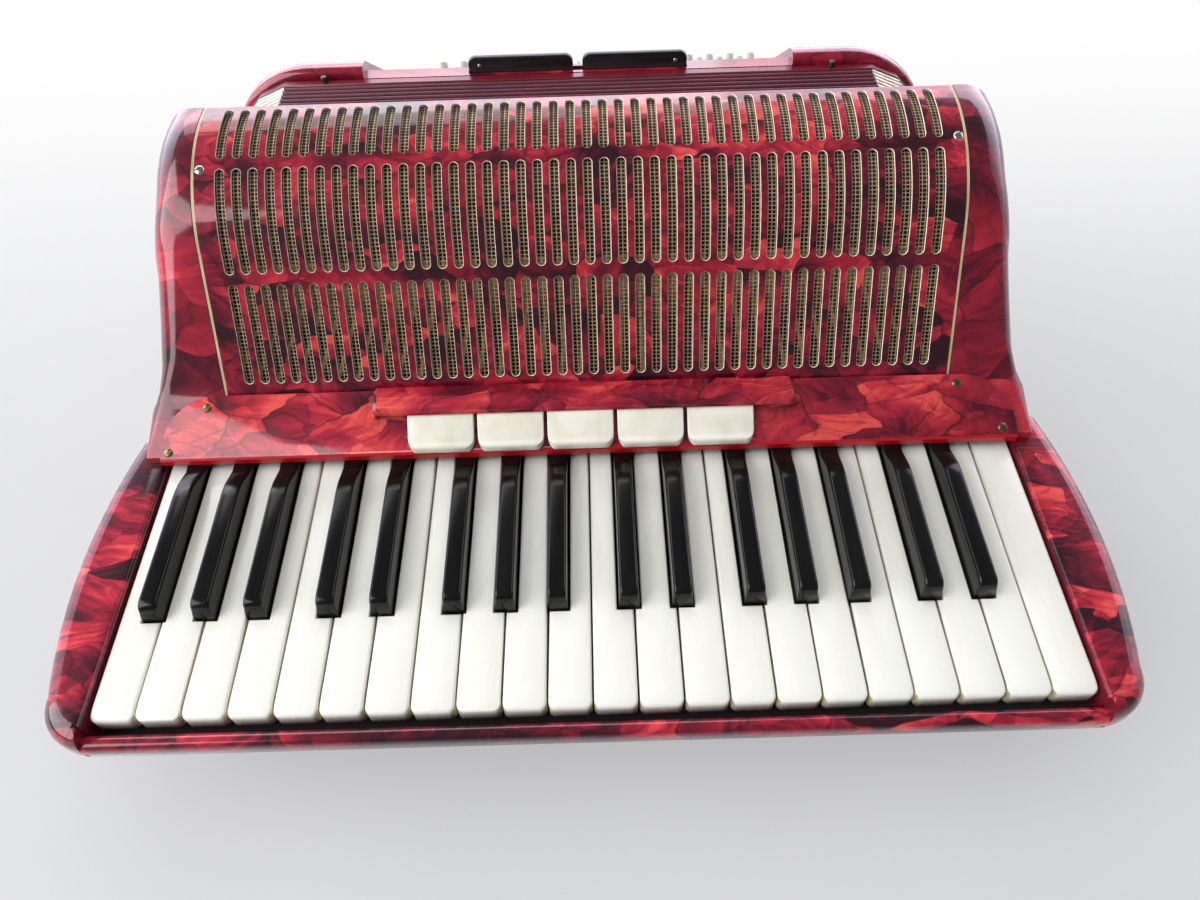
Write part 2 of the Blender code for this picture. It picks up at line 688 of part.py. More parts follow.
def treble_casing():
    body = mesh_object("treble_casing", casing_shape())
    high = CREST_HEIGHT + WALL
    keys_bottom = BED_TOP - LEVER_HEIGHT
    seat = [crest_point(run, SEAT_DEPTH) for run in curve_runs(-SEAT_DEPTH)]
    seat[-1] = (BODY_BACK + WALL, seat[-1][1])
    over = [(seat[-1][0], high), (WING_FRONT, high), (WING_FRONT, seat[0][1])]
    half = GRILLE_HALF + SEAT_GAP
    cut(body, prism(seat + over, "X", -half, half))
    inner = GRILLE_HALF - LEDGE
    cut(body, block((-inner, inner), (BODY_FRONT + WALL, SOUNDBOARD_FRONT), (WALL, high)))
    tip = BODY_FRONT - WALL
    cut(body, block((-inner, inner), (WING_FRONT - WALL, tip + 3 * WALL), (keys_bottom, high)))
    chamber = REED_CHAMBER_HALF
    cut(
        body,
        block((-chamber, chamber), (SOUNDBOARD_BACK, BODY_BACK + WALL), (WALL, REED_CHAMBER_TOP)),
    )
    plan = [
        (WING_FRONT - WALL, KEYBOARD_HALF - WALL, high),
        (BODY_FRONT - RUN_GAP, KEYBOARD_HALF - WALL, high),
        (BODY_FRONT, ARM_ROOM_HALF, WING_BOTTOM),
        (AXLE_DEPTH, ARM_ROOM_HALF, WING_BOTTOM),
        (LEVER_BACK, ARM_ROOM_HALF, WING_BOTTOM + WALL),
        (*arm_room(0.3, inner), AXLE_HEIGHT + 0.75 * ARM_ROOM_HEIGHT),
        (*arm_room(0.8, inner), AXLE_HEIGHT + ARM_ROOM_HEIGHT),
        (*arm_room(1.0, inner), AXLE_HEIGHT + ARM_ROOM_HEIGHT),
    ]
    rings = [[(side * half, y, top, keys_bottom) for y, half, top in plan] for side in (-1, 1)]
    cut(body, ladder(rings))
    socket = ARM_ROOM_HALF + AXLE_SOCKET + SEAT_GAP
    radius = AXLE_RADIUS + 2 * RUN_GAP
    cut(body, rod("X", (AXLE_DEPTH, AXLE_HEIGHT), radius, -socket, socket, 8))
    place(body, PEARLOID)


def frame_half(y):
    """Half width of the keyboard frame: widest beside the keys, drawn in at both ends."""
    if y > FRAME_WIDEST:
        share = (y - FRAME_WIDEST) / (BODY_FRONT - FRAME_WIDEST)
        return FRAME_HALF - FRAME_WAIST * share * share
    share = (FRAME_WIDEST - y) / FRAME_WIDEST
    return FRAME_HALF - FRAME_FRONT_TAPER * share * share


def keyboard_frame():
    back = BODY_FRONT - SEAT_GAP
    turn = FRAME_CORNER - RAIL_FRONT
    sides = [back - (back - turn) * i / FRAME_STEPS for i in range(FRAME_STEPS)]
    half = [(frame_half(y), y) for y in sides]
    centre = (frame_half(turn) - FRAME_CORNER, turn)
    corner = arc(centre, FRAME_CORNER, 0, -math.pi / 2, 5)
    outline = mirrored(half + corner)
    bm = prism(outline, "Z", FRAME_BOTTOM, FRAME_TOP)
    for level, width in ((FRAME_TOP, FRAME_EDGE_ROUND), (FRAME_BOTTOM, FRAME_UNDER_ROUND)):
        rim = []
        for edge in bm.edges:
            a, b = edge.verts
            flat = max(abs(a.co.z - level), abs(b.co.z - level)) < SEAT_GAP
            if flat and min(a.co.y, b.co.y) < back - SEAT_GAP:
                rim.append(edge)
        bevel(bm, rim, width, 3)
    frame = mesh_object("keyboard_frame", bm)
    pocket = KEYBOARD_HALF + POCKET_GAP
    rail_back = -RAIL_GAP
    high = FRAME_TOP + WALL
    cut(frame, block((-pocket, pocket), (rail_back, BODY_FRONT), (BED_TOP, high)))
    front = -RAIL_FRONT - WALL
    low = BED_TOP - WALL / 2
    cut(frame, block((-RAIL_HALF, RAIL_HALF), (front, rail_back + SEAT_GAP), (low, high)))
    crown = RAIL_TOP - RAIL_ROUND
    under = FRAME_UNDER_ROUND
    sunk = low - SEAT_GAP
    slant = under - math.sqrt(under**2 - (FRAME_BOTTOM + under - sunk) ** 2) + SEAT_GAP
    centre_back = (rail_back - RAIL_ROUND, crown)
    centre_front = (-RAIL_FRONT + RAIL_ROUND, crown)
    section = arc(centre_back, RAIL_ROUND, 0, math.pi / 2, 3)
    section += arc(centre_front, RAIL_ROUND, math.pi / 2, math.pi, 3)
    section += [(-RAIL_FRONT, FRAME_BOTTOM + under), (slant - RAIL_FRONT, sunk), (rail_back, sunk)]
    end = RAIL_HALF + SEAT_GAP
    join(frame, prism(section, "X", -end, end))
    place(frame, PEARLOID)


def grille_columns():
    """x of every line across the grille: its two ends and four lines for each slot."""
    inner = SLOT_WIDTH / 2 * math.tan(math.pi / 8)
    columns = [-GRILLE_HALF]
    for i in range(SLOT_COUNT):
        centre = (i - (SLOT_COUNT - 1) / 2) * SLOT_PITCH
        for offset in (-SLOT_WIDTH / 2, -inner, inner, SLOT_WIDTH / 2):
            columns.append(centre + offset)
    return columns + [GRILLE_HALF]


def grille_runs():
    """Runs of the lines along the grille, and the numbers of the slot rows' first and last."""
    runs = [0.0]
    spans = []
    for start, end in SLOT_ROWS:
        begin = len(runs)
        runs.append(start)
        if end > GRILLE_RUN:
            low = max(start, GRILLE_RUN)
            bends = math.ceil((end - low) / CURVE_STEP)
            first = 0 if low > start else 1
            runs += [low + (end - low) * i / bends for i in range(first, bends)]
        runs.append(end)
        spans.append((begin, len(runs) - 1))
    return runs + [GRILLE_END_RUN], spans


def grille_plate():
    """A flat grid loses its slot cells, is bent to the grille's line and is thickened."""
    columns = grille_columns()
    runs, spans = grille_runs()
    bm = bmesh.new()
    bmesh.ops.create_grid(bm, x_segments=len(columns) - 1, y_segments=len(runs) - 1, size=1)
    across = len(columns) - 1
    along = len(runs) - 1
    cells = {}
    for vert in bm.verts:
        i = round((vert.co.x + 1) / 2 * across)
        j = round((vert.co.y + 1) / 2 * along)
        cells[vert] = (i, j)
    slots = []
    for face in bm.faces:
        i = min(cells[v][0] for v in face.verts)
        j = min(cells[v][1] for v in face.verts)
        in_slot = 0 < i < across - 1 and (i - 1) % 4 != 3
        if in_slot and any(first <= j < last for first, last in spans):
            slots.append(face)
    bmesh.ops.delete(bm, geom=slots, context="FACES")
    bow = SLOT_WIDTH / 2 * (1 - math.tan(math.pi / 8))
    for vert in bm.verts:
        i, j = cells[vert]
        run = runs[j]
        if 0 < i < across and (i - 1) % 4 in (1, 2):
            run -= bow if any(j == first for first, last in spans) else 0
            run += bow if any(j == last for first, last in spans) else 0
        y, z = crest_point(run)
        vert.co = (columns[i], y, z)
    border = [f for f in bm.faces if plain_band(f, cells, along)]
    bmesh.ops.dissolve_faces(bm, faces=[f for f in border if low_band(f, cells)])
    back = [f for f in bm.faces if f.is_valid and plain_band(f, cells, along)]
    bmesh.ops.dissolve_faces(bm, faces=[f for f in back if len(f.verts) == 4 and high_band(f, cells, along)])
    straight = [v for v in bm.verts if len(v.link_edges) == 2 and on_rim(v, cells, along, across)]
    bmesh.ops.dissolve_verts(bm, verts=straight)
    bmesh.ops.recalc_face_normals(bm, faces=bm.faces)
    plate = mesh_object("grille", bm)
    return plate


def plain_band(face, cells, along):
    rows = {cells[v][1] for v in face.verts if v in cells}
    return rows <= {0, 1} or rows <= {along - 1, along}


def low_band(face, cells):
    return max(cells[v][1] for v in face.verts) == 1


def high_band(face, cells, along):
    return min(cells[v][1] for v in face.verts) == along - 1


def on_rim(vert, cells, along, across):
    i, j = cells[vert]
    return j in (0, along) and 0 < i < across


def grille():
    plate = grille_plate()
    walls = plate.modifiers.new("thickness", "SOLIDIFY")
    walls.thickness = GRILLE_THICKNESS
    walls.offset = -1
    place(plate, PEARLOID)


def grille_mesh():
    sunk = GRILLE_THICKNESS + SEAT_GAP
    runs = curve_runs(0.0)
    outline = [crest_point(run, sunk) for run in runs]
    outline += [crest_point(run, sunk + MESH_THICKNESS) for run in reversed(runs)]
    bm = prism(outline, "X", -GRILLE_HALF, GRILLE_HALF)
    place(mesh_object("grille_mesh", bm), GILT)


def cover_point(run, sunk):
    """(y, z) on the key cover's upper face, a run up its slope, sunk below it."""
    y = COVER_FOOT_DEPTH + run * math.cos(COVER_SLOPE) + sunk * math.sin(COVER_SLOPE)
    z = COVER_FOOT_HEIGHT + run * math.sin(COVER_SLOPE) - sunk * math.cos(COVER_SLOPE)
    return y, z


def hood_outline(inset):
    """Half round bulge over the switches' rear ends, from its lip back to the cover."""
    y = HOOD_LIP_DEPTH
    z = cover_height(y) + HOOD_LIP_CLEAR
    crown_y = y + HOOD_REACH * 0.42
    crown_z = z + HOOD_RISE / 2 - inset
    reach = HOOD_REACH * 0.42 - inset
    front = [
        (crown_y - reach * math.cos(math.radians(a)), z + (crown_z - z) * math.sin(math.radians(a)))
        for a in (0, 25, 50, 75)
    ]
    back_y = y + HOOD_REACH
    return front + [
        (crown_y + HOOD_REACH * 0.15, crown_z),
        (back_y - inset * 1.5, cover_height(back_y) + HOOD_WALL * 1.2 - inset / 2),
    ]


def cover_height(y):
    return COVER_FOOT_HEIGHT + (y - COVER_FOOT_DEPTH) * math.tan(COVER_SLOPE)


def key_cover():
    lip_back, under_z = cover_point(0, COVER_THICKNESS)
    outline = [
        (COVER_LIP_DEPTH, COVER_LIP_BOTTOM),
        (COVER_LIP_DEPTH, COVER_LIP_BOTTOM + 0.7 * COVER_LIP_HEIGHT),
        cover_point(0, 0),
        cover_point(COVER_LENGTH, 0),
        cover_point(COVER_LENGTH, COVER_THICKNESS),
        (lip_back, under_z),
        (lip_back, COVER_LIP_BOTTOM),
    ]
    cover = mesh_object("key_cover", prism(outline, "X", -COVER_HALF, COVER_HALF))
    for side in (-1, 1):
        cut(cover, corner_cutter(side))
    lip = HOOD_LIP_DEPTH
    back = lip + HOOD_REACH
    sunk = COVER_THICKNESS / 2
    root = [
        (back - HOOD_WALL, cover_height(back - HOOD_WALL) - sunk),
        (lip + HOOD_END_SLANT, cover_height(lip + HOOD_END_SLANT) - sunk),
    ]
    bulge = prism(hood_outline(0) + root, "X", HOOD_CENTRE - HOOD_HALF, HOOD_CENTRE + HOOD_HALF)
    ends = [
        e for e in bulge.edges
        if abs(e.verts[0].co.x - e.verts[1].co.x) < SEAT_GAP
        and min(v.co.z - cover_height(v.co.y) for v in e.verts) > HOOD_WALL
    ]
    bevel(bulge, ends, HOOD_ROUND, 2)
    join(cover, bulge)
    inside = HOOD_HALF - HOOD_WALL
    mouth = lip - 2 * HOOD_WALL
    floor = [
        (back - 3 * HOOD_WALL, cover_height(back - 3 * HOOD_WALL) - SEAT_GAP / 2),
        (mouth, cover_height(mouth) - SEAT_GAP / 2),
        (mouth, cover_height(lip) + HOOD_LIP_CLEAR),
    ]
    hollow = prism(hood_outline(HOOD_WALL) + floor, "X", HOOD_CENTRE - inside, HOOD_CENTRE + inside)
    cut(cover, hollow)
    place(cover, PEARLOID)


def corner_cutter(side):
    """What lies outside the cover's round top corner, drawn in the cover's own plane."""
    inner = (COVER_HALF - COVER_CORNER, COVER_LENGTH - COVER_CORNER)
    round_edge = arc(inner, COVER_CORNER, 0, math.pi / 2, 6)
    far = COVER_HALF + COVER_THICKNESS
    top = COVER_LENGTH + COVER_THICKNESS
    outline = [(far, inner[1])] + round_edge + [(inner[0], top), (far, top)]
    deep = 3 * COVER_THICKNESS
    bm = prism([(side * a, b) for a, b in outline], "Z", -deep, deep)
    start_y, start_z = cover_point(0, 0)
    spin = Matrix.Rotation(COVER_SLOPE, 4, "X")
    bm.transform(Matrix.Translation((0, start_y, start_z)) @ spin)
    bmesh.ops.recalc_face_normals(bm, faces=bm.faces)
    return bm


def register_switch(number):
    """A paddle that comes out from under the hood, with its barrel on the axle."""
    x = SWITCH_CENTRE + (number - (SWITCH_COUNT + 1) / 2) * SWITCH_PITCH
    axle = (SWITCH_AXLE_DEPTH, SWITCH_AXLE_HEIGHT)
    y, z = axle
    front = y - SWITCH_LENGTH
    foot = cover_height(front) + COVER_THICKNESS
    outline = [
        (front + SWITCH_EDGE, foot - SWITCH_EDGE),
        (front, foot + SWITCH_EDGE),
        (front + 1.5 * SWITCH_EDGE, foot + 4.5 * SWITCH_EDGE),
        (front + 4.5 * SWITCH_EDGE, foot + 6.5 * SWITCH_EDGE),
        (y - 3 * SWITCH_BARREL, z - SWITCH_EDGE),
        (y - 2 * SWITCH_BARREL, z),
    ]
    outline += arc(axle, SWITCH_BARREL, math.radians(130), math.radians(-130), 6)
    outline += [(front + 4.5 * SWITCH_EDGE, foot + 1.5 * SWITCH_EDGE)]
    half = SWITCH_WIDTH / 2
    bm = prism(outline, "X", x - half, x + half)
    rim = [
        e for e in bm.edges
        if abs(e.verts[0].co.x - e.verts[1].co.x) < SEAT_GAP
        and max(v.co.y for v in e.verts) < y - SWITCH_BARREL
    ]
    bevel(bm, rim, SWITCH_EDGE, 1)
    switch = mesh_object(f"register_switch_{number}", bm)
    hole = SWITCH_AXLE_RADIUS + 2 * RUN_GAP
    cut(switch, rod("X", axle, hole, x - SWITCH_WIDTH, x + SWITCH_WIDTH, 8))
    turn = -SWITCH_LIFT if number == RAISED_SWITCH else 0
    place(switch, CREAM, (x, *axle), turn)


def register_axle():
    half = HOOD_HALF - HOOD_WALL - SEAT_GAP
    axle = (SWITCH_AXLE_DEPTH, SWITCH_AXLE_HEIGHT)
    bm = rod("X", axle, SWITCH_AXLE_RADIUS, HOOD_CENTRE - half, HOOD_CENTRE + half, 8)
    place(mesh_object("register_axle", bm), STEEL)


def reed_block(name, half, base, direction, rows, pitch, reach):
    """Reed blocks on one board: tapering fins that stand out from it in rows."""
    heights = [WALL + REED_FOOT + FIN_ROOT + i * pitch for i in range(rows)]
    board_low = heights[0] - FIN_ROOT
    board_high = heights[-1] + FIN_ROOT
    face = base + direction * REED_BASE
    tip = base + direction * reach
    outline = [(base, board_high), (base, board_low), (face, board_low)]
    for height in heights:
        outline += [
            (face, height - FIN_ROOT / 2),
            (tip, height - FIN_TIP / 2),
            (tip, height + FIN_TIP / 2),
            (face, height + FIN_ROOT / 2),
        ]
    outline.append((face, board_high))
    bm = prism(outline, "X", -half, half)
    place(mesh_object(name, bm), SPRUCE)


def bellows_ring(inset):
    """(x, z) of the bellows' chamfered outline, drawn in by the inset."""
    half = BELLOWS_HALF - inset
    top = BELLOWS_TOP - inset
    bottom = BELLOWS_BOTTOM + inset
    slant = BELLOWS_CHAMFER - inset * (2 - math.sqrt(2))
    right = [(half - slant, bottom), (half, bottom + slant), (half, top - slant), (half - slant, top)]
    return mirrored(right)


def tube(rings):
    """Skins rings of equal length one after the other and closes the last to the first."""
    bm = bmesh.new()
    made = [[bm.verts.new(p) for p in ring] for ring in rings]
    for one, two in zip(made, made[1:] + made[:1]):
        for i in range(len(one)):
            bm.faces.new((one[i - 1], one[i], two[i], two[i - 1]))
    bmesh.ops.recalc_face_normals(bm, faces=bm.faces)
    return bm


def bellows():
    rings = []
    for i in range(2 * BELLOWS_FOLDS + 1):
        y = BELLOWS_START + i * FOLD_PITCH / 2
        inset = 0.0 if i % 2 else FOLD_DEPTH
        rings.append([(x, y, z) for x, z in bellows_ring(inset)])
    for y in (BELLOWS_END, BELLOWS_START):
        rings.append([(x, y, z) for x, z in bellows_ring(BELLOWS_WALL)])
    place(mesh_object("bellows", tube(rings)), MAROON_CLOTH)


def bellows_frame():
    rings = []
    for inset, y in (
        (0.0, FRAME_START),
        (0.0, FRAME_START + BELLOWS_FRAME_DEPTH),
        (BELLOWS_WALL, FRAME_START + BELLOWS_FRAME_DEPTH),
        (BELLOWS_WALL, FRAME_START),
    ):
        rings.append([(x, y, z) for x, z in bellows_ring(inset)])
    place(mesh_object("bellows_frame", tube(rings)), MAROON_FRAME)


def board_point(run, sunk=0.0):
    """(y, z) on the sloping bed of the bass buttons, a run down it from its top edge."""
    y = BASS_START + BOARD_RIM + run * math.cos(BOARD_SLOPE) - sunk * math.sin(BOARD_SLOPE)
    z = BELLOWS_TOP - BOARD_DROP - run * math.sin(BOARD_SLOPE) - sunk * math.cos(BOARD_SLOPE)
    return y, z


def bass_columns():
    """(y, top, drawn in) of the bass casing, from the bellows to its outer face."""
    crown = BASS_START + BASS_CROWN
    top = BELLOWS_TOP + BASS_RISE
    edge = BASS_FACE - BASS_FACE_ROUND
    columns = [(BASS_START, top, 0.0), (crown, top, 0.0)]
    for angle in (0, 30, 60, 90):
        turn = math.radians(angle)
        y = edge + BASS_FACE_ROUND * math.sin(turn)
        inset = BASS_FACE_ROUND * (1 - math.cos(turn))
        columns.append((y, top - (y - crown) * math.tan(BASS_SLOPE) - inset / 2, inset))
    return columns


def bass_shape():
    """The bass casing's outer shape: a roof that falls away from the bellows, with round ends."""
    turns = [math.pi / 2 * i / 6 for i in range(7)]
    rings = []
    for side in (-1, 1):
        for turn in reversed(turns) if side < 0 else turns:
            ring = []
            for y, top, inset in bass_columns():
                x = BASS_HALF - inset - BASS_SHOULDER * (1 - math.sin(turn))
                low = inset + BASS_FOOT_ROUND * (1 - math.cos(turn))
                ring.append((side * x, y, top - BASS_SHOULDER * (1 - math.cos(turn)), low))
            rings.append(ring)
    return ladder(rings)


def bass_casing():
    body = mesh_object("bass_casing", bass_shape())
    length = (BASS_FACE - BASS_START) / math.cos(BOARD_SLOPE)
    high = BELLOWS_TOP + BASS_SHOULDER
    bed_depth = BOARD_THICKNESS + SEAT_GAP
    bed = [(BASS_START - WALL, BELLOWS_TOP), (board_point(0)[0], BELLOWS_TOP)]
    bed += [board_point(0, bed_depth), board_point(length, bed_depth)]
    bed += [(board_point(length)[0], high), (BASS_START - WALL, high)]
    room = BOARD_HALF
    cut(body, prism(bed, "X", -room, room))
    inner = BASS_HALF - BASS_WALL
    back = BASS_FACE - BASS_WALL
    cut(
        body,
        block((-inner, inner), (BASS_START - BASS_WALL, back), (BASS_WALL, BASS_HOLLOW_TOP)),
    )
    groove = PADDLE_WIDTH + PADDLE_GAP
    centre = (paddle_depth(), BELLOWS_TOP)
    cut(body, rod("X", centre, PADDLE_BEAD + SEAT_GAP, -groove, groove, 12))
    wheel_room = WHEEL_RADIUS + WHEEL_PROUD / 2
    middle_y, middle_z = wheel_centre()
    side = WHEEL_THICKNESS / 2 + SEAT_GAP
    slot_y = (middle_y - wheel_room, BASS_FACE + WALL)
    slot_z = (middle_z - wheel_room, middle_z + wheel_room)
    cut(body, block((WHEEL_X - side, WHEEL_X + side), slot_y, slot_z))
    reach = side + WHEEL_PIN_LENGTH
    bore = WHEEL_PIN + 2 * RUN_GAP
    cut(body, rod("X", wheel_centre(), bore, WHEEL_X - reach, WHEEL_X + reach, 8))
    bore = AIR_STEM + 2 * RUN_GAP
    well = AIR_RADIUS + SEAT_GAP
    floor = BASS_FACE - BASS_WALL
    cut(body, rod("Y", (AIR_X, AIR_HEIGHT), bore, floor - AIR_PROUD, BASS_FACE + WALL, 8))
    cut(body, rod("Y", (AIR_X, AIR_HEIGHT), well, BASS_FACE - AIR_PROUD, BASS_FACE + WALL, 12))
    place(body, PEARLOID)


def paddle_depth():
    return BASS_START + BOARD_RIM / 2


def wheel_centre():
    return BASS_FACE + WHEEL_PROUD - WHEEL_RADIUS, STRAP_BOTTOM + STRAP_WIDTH / 2


def button_board():
    """The board and its buttons, which stand in slanting rows of their own."""
    length = (BASS_FACE - BASS_START - BOARD_RIM) / math.cos(BOARD_SLOPE) - 2 * BOARD_THICKNESS
    half = BOARD_HALF - SEAT_GAP
    bm = block((-half, half), (SEAT_GAP, length), (-BOARD_THICKNESS, 0))
    board = mesh_object("bass_button_board", bm)
    buttons = bmesh.new()
    first = (BUTTON_ROWS - 1) * BUTTON_SKEW - BUTTONS_HALF
    tall = BUTTON_HEIGHT + BOARD_THICKNESS / 2
    for row in range(BUTTON_ROWS):
        for column in range(BUTTON_COLUMNS):
            x = first + column * BUTTON_PITCH - row * BUTTON_SKEW
            y = FIRST_BUTTON_ROW + row * BUTTON_ROW_PITCH
            middle = (x, y, BUTTON_HEIGHT - tall / 2)
            bmesh.ops.create_cone(
                buttons,
                cap_ends=True,
                segments=6,
                radius1=BUTTON_RADIUS,
                radius2=BUTTON_RADIUS,
                depth=tall,
                matrix=Matrix.Translation(middle),
            )
    join(board, buttons)
    start_y, start_z = board_point(0)
    spin = Matrix.Rotation(-BOARD_SLOPE, 4, "X")
    board.data.transform(Matrix.Translation((0, start_y, start_z)) @ spin)
    place(board, CREAM)


def bass_register(name, side):
    """An upright paddle with a bead along its foot, which turns in a groove of the casing."""
    low = PADDLE_GAP / 2 if side > 0 else -PADDLE_GAP / 2 - PADDLE_WIDTH
    high = low + PADDLE_WIDTH
    y = paddle_depth()
    top = BELLOWS_TOP + PADDLE_HEIGHT
    corners = [(low + PADDLE_CORNER, top - PADDLE_CORNER), (high - PADDLE_CORNER, top - PADDLE_CORNER)]
    outline = [(high, BELLOWS_TOP), *arc(corners[1], PADDLE_CORNER, 0, math.pi / 2, 3)]
    outline += [*arc(corners[0], PADDLE_CORNER, math.pi / 2, math.pi, 3), (low, BELLOWS_TOP)]
    thick = PADDLE_THICKNESS / 2
    paddle = mesh_object(name, prism(outline, "Y", y - thick, y + thick))
    join(paddle, rod("X", (y, BELLOWS_TOP), PADDLE_BEAD, low, high, 12))
    place(paddle, SATIN_BLACK, ((low + high) / 2, y, BELLOWS_TOP))


def hand_strap():
    """A band that bows out from the bass face and lies flat on it at both ends."""
    rise = STRAP_BOW
    face = BASS_FACE + SEAT_GAP
    steps = 12
    inner = [(STRAP_HALF, face)]
    for i in range(steps + 1):
        share = 1 - 2 * i / steps
        x = (STRAP_HALF - STRAP_PAD) * share
        inner.append((x, face + rise * math.cos(math.pi / 2 * share) ** 0.8))
    inner.append((-STRAP_HALF, face))
    outer = [(x, y + STRAP_THICKNESS) for x, y in reversed(inner)]
    bm = prism(inner + outer, "Z", STRAP_BOTTOM, STRAP_BOTTOM + STRAP_WIDTH)
    place(mesh_object("bass_strap", bm), LEATHER)


def strap_wheel():
    """A knurled wheel on two short pins, standing a little out of its slot."""
    y, z = wheel_centre()
    rim = []
    for i in range(2 * WHEEL_TEETH):
        radius = WHEEL_RADIUS - (WHEEL_TOOTH if i % 2 else 0)
        turn = math.pi * i / WHEEL_TEETH
        rim.append((y + radius * math.cos(turn), z + radius * math.sin(turn)))
    half = WHEEL_THICKNESS / 2
    wheel = mesh_object("strap_wheel", prism(rim, "X", WHEEL_X - half, WHEEL_X + half))
    reach = half + WHEEL_PIN_LENGTH
    join(wheel, rod("X", (y, z), WHEEL_PIN, WHEEL_X - reach, WHEEL_X + reach, 8))
    place(wheel, NICKEL, (WHEEL_X, y, z))


def air_button():
    """A domed push button in its well, on a stem through the casing wall."""
    face = BASS_FACE + AIR_PROUD
    floor = BASS_FACE
    centre = (AIR_X, AIR_HEIGHT)
    button = mesh_object("air_button", rod("Y", centre, AIR_RADIUS, floor, face, 12))
    bm = bmesh.new()
    bm.from_mesh(button.data)
    rim = [e for e in bm.edges if min(v.co.y for v in e.verts) > face - SEAT_GAP]
    bevel(bm, rim, AIR_PROUD / 3, 2)
    bm.to_mesh(button.data)
    bm.free()
    join(button, rod("Y", centre, AIR_STEM, floor - AIR_STEM_LENGTH, face - SEAT_GAP * 5, 8))
    place(button, NICKEL, (AIR_X, floor, AIR_HEIGHT))


def build():
    clear_scene()
    treble_casing()
    keyboard_frame()
    key_axle()
    for index in range(WHITE_COUNT):
        white_key(index)
    for index in range(len(black_boundaries())):
        black_key(index)
    grille()
    grille_mesh()
    key_cover()
    register_axle()
    for number in range(1, SWITCH_COUNT + 1):
        register_switch(number)
    rows = (TREBLE_FIN_COUNT, TREBLE_FIN_PITCH, TREBLE_FIN_REACH)
    reed_block("treble_reed_block", TREBLE_REED_HALF, SOUNDBOARD_BACK + SEAT_GAP, 1, *rows)
    bellows()
    bellows_frame()
    bass_casing()
    rows = (BASS_FIN_COUNT, BASS_FIN_PITCH, BASS_FIN_REACH)
    back = BASS_FACE - BASS_WALL - SEAT_GAP
    reed_block("bass_reed_block", BASS_REED_HALF, back, -1, *rows)
    button_board()
    bass_register("bass_register_left", -1)
    bass_register("bass_register_right", 1)
    hand_strap()
    strap_wheel()
    air_button()


build()
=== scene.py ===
"""Looks of the piano accordion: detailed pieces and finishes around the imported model.

Depths are measured from the front edge of the white keys, and heights from the floor, as on
the bench. add_piece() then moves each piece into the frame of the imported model.
"""

import math

import bmesh
import bpy
from mathutils import Matrix, Vector


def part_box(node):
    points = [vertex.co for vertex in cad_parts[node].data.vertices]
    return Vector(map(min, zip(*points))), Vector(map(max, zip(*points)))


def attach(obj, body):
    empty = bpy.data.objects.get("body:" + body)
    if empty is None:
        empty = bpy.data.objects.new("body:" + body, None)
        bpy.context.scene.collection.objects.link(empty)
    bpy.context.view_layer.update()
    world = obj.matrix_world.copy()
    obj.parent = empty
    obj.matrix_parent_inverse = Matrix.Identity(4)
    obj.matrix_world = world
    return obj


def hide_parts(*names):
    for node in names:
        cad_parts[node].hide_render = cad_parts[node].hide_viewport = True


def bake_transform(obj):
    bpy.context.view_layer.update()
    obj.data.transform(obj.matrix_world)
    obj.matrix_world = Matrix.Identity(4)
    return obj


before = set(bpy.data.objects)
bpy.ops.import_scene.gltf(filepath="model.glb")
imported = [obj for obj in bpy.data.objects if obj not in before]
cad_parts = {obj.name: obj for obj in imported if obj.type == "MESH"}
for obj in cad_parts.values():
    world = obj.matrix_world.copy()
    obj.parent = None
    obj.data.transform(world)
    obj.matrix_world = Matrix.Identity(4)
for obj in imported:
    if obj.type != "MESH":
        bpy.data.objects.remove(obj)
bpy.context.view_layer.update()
KEY_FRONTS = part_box("white_key_01")[0].y

# Keyboard
KEY_TOP = 0.075
KEY_PITCH = 0.0195
KEY_GAP = 0.0008
WHITE_COUNT = 22
KEY_LENGTH = 0.145
KEY_THICKNESS = 0.010
KEY_CORNER = 0.0030
KEY_EDGE = 0.0012
KEY_ROLL = 0.0075
KEY_DROP = 0.0016
HEAD_LENGTH = 0.0456
BLACK_WIDTH = 0.0096
BLACK_HEIGHT = 0.0105
BLACK_SHOULDER = 0.034
BLACK_TAIL_HEIGHT = 0.0042
BLACK_EDGE = 0.0015
BLACK_NOSE = 0.0045
BLACK_TAPER = 0.13
BLACK_SHIFTS = {0: -0.0040, 1: 0.0, 2: 0.0042, 4: -0.0024, 5: 0.0023}
KEYBOARD_HALF = WHITE_COUNT * KEY_PITCH / 2

# Key cover with its hood, and the register switches
COVER_LIP = 0.131
COVER_LIP_BOTTOM = 0.0798
COVER_LIP_HEIGHT = 0.0044
COVER_FOOT = (0.1321, 0.0842)
COVER_SLOPE = math.radians(30.9)
COVER_LENGTH = 0.0315
COVER_THICKNESS = 0.0021
COVER_HALF = 0.216
COVER_CORNER = 0.028
COVER_EDGE = 0.0009
HOOD_LIP = 0.1435
HOOD_CENTRE = -0.002
HOOD_HALF = 0.106
HOOD_WALL = 0.002
HOOD_REACH = 0.0155
HOOD_RISE = 0.0112
HOOD_CLEAR = 0.0080
HOOD_ROUND = 0.0034
SWITCH_AXLE = (0.150, 0.098213)
SWITCH_PITCH = 0.035
SWITCH_WIDTH = 0.033
SWITCH_LENGTH = 0.020
SWITCH_EDGE = 0.0007
SWITCH_BARREL = 0.0024
SWITCH_ROUND = 0.0011
SWITCH_CORNER = 0.0052
SWITCH_LIFT = math.radians(4)
SWITCH_CENTRE = -0.0035
RAISED_SWITCH = 3

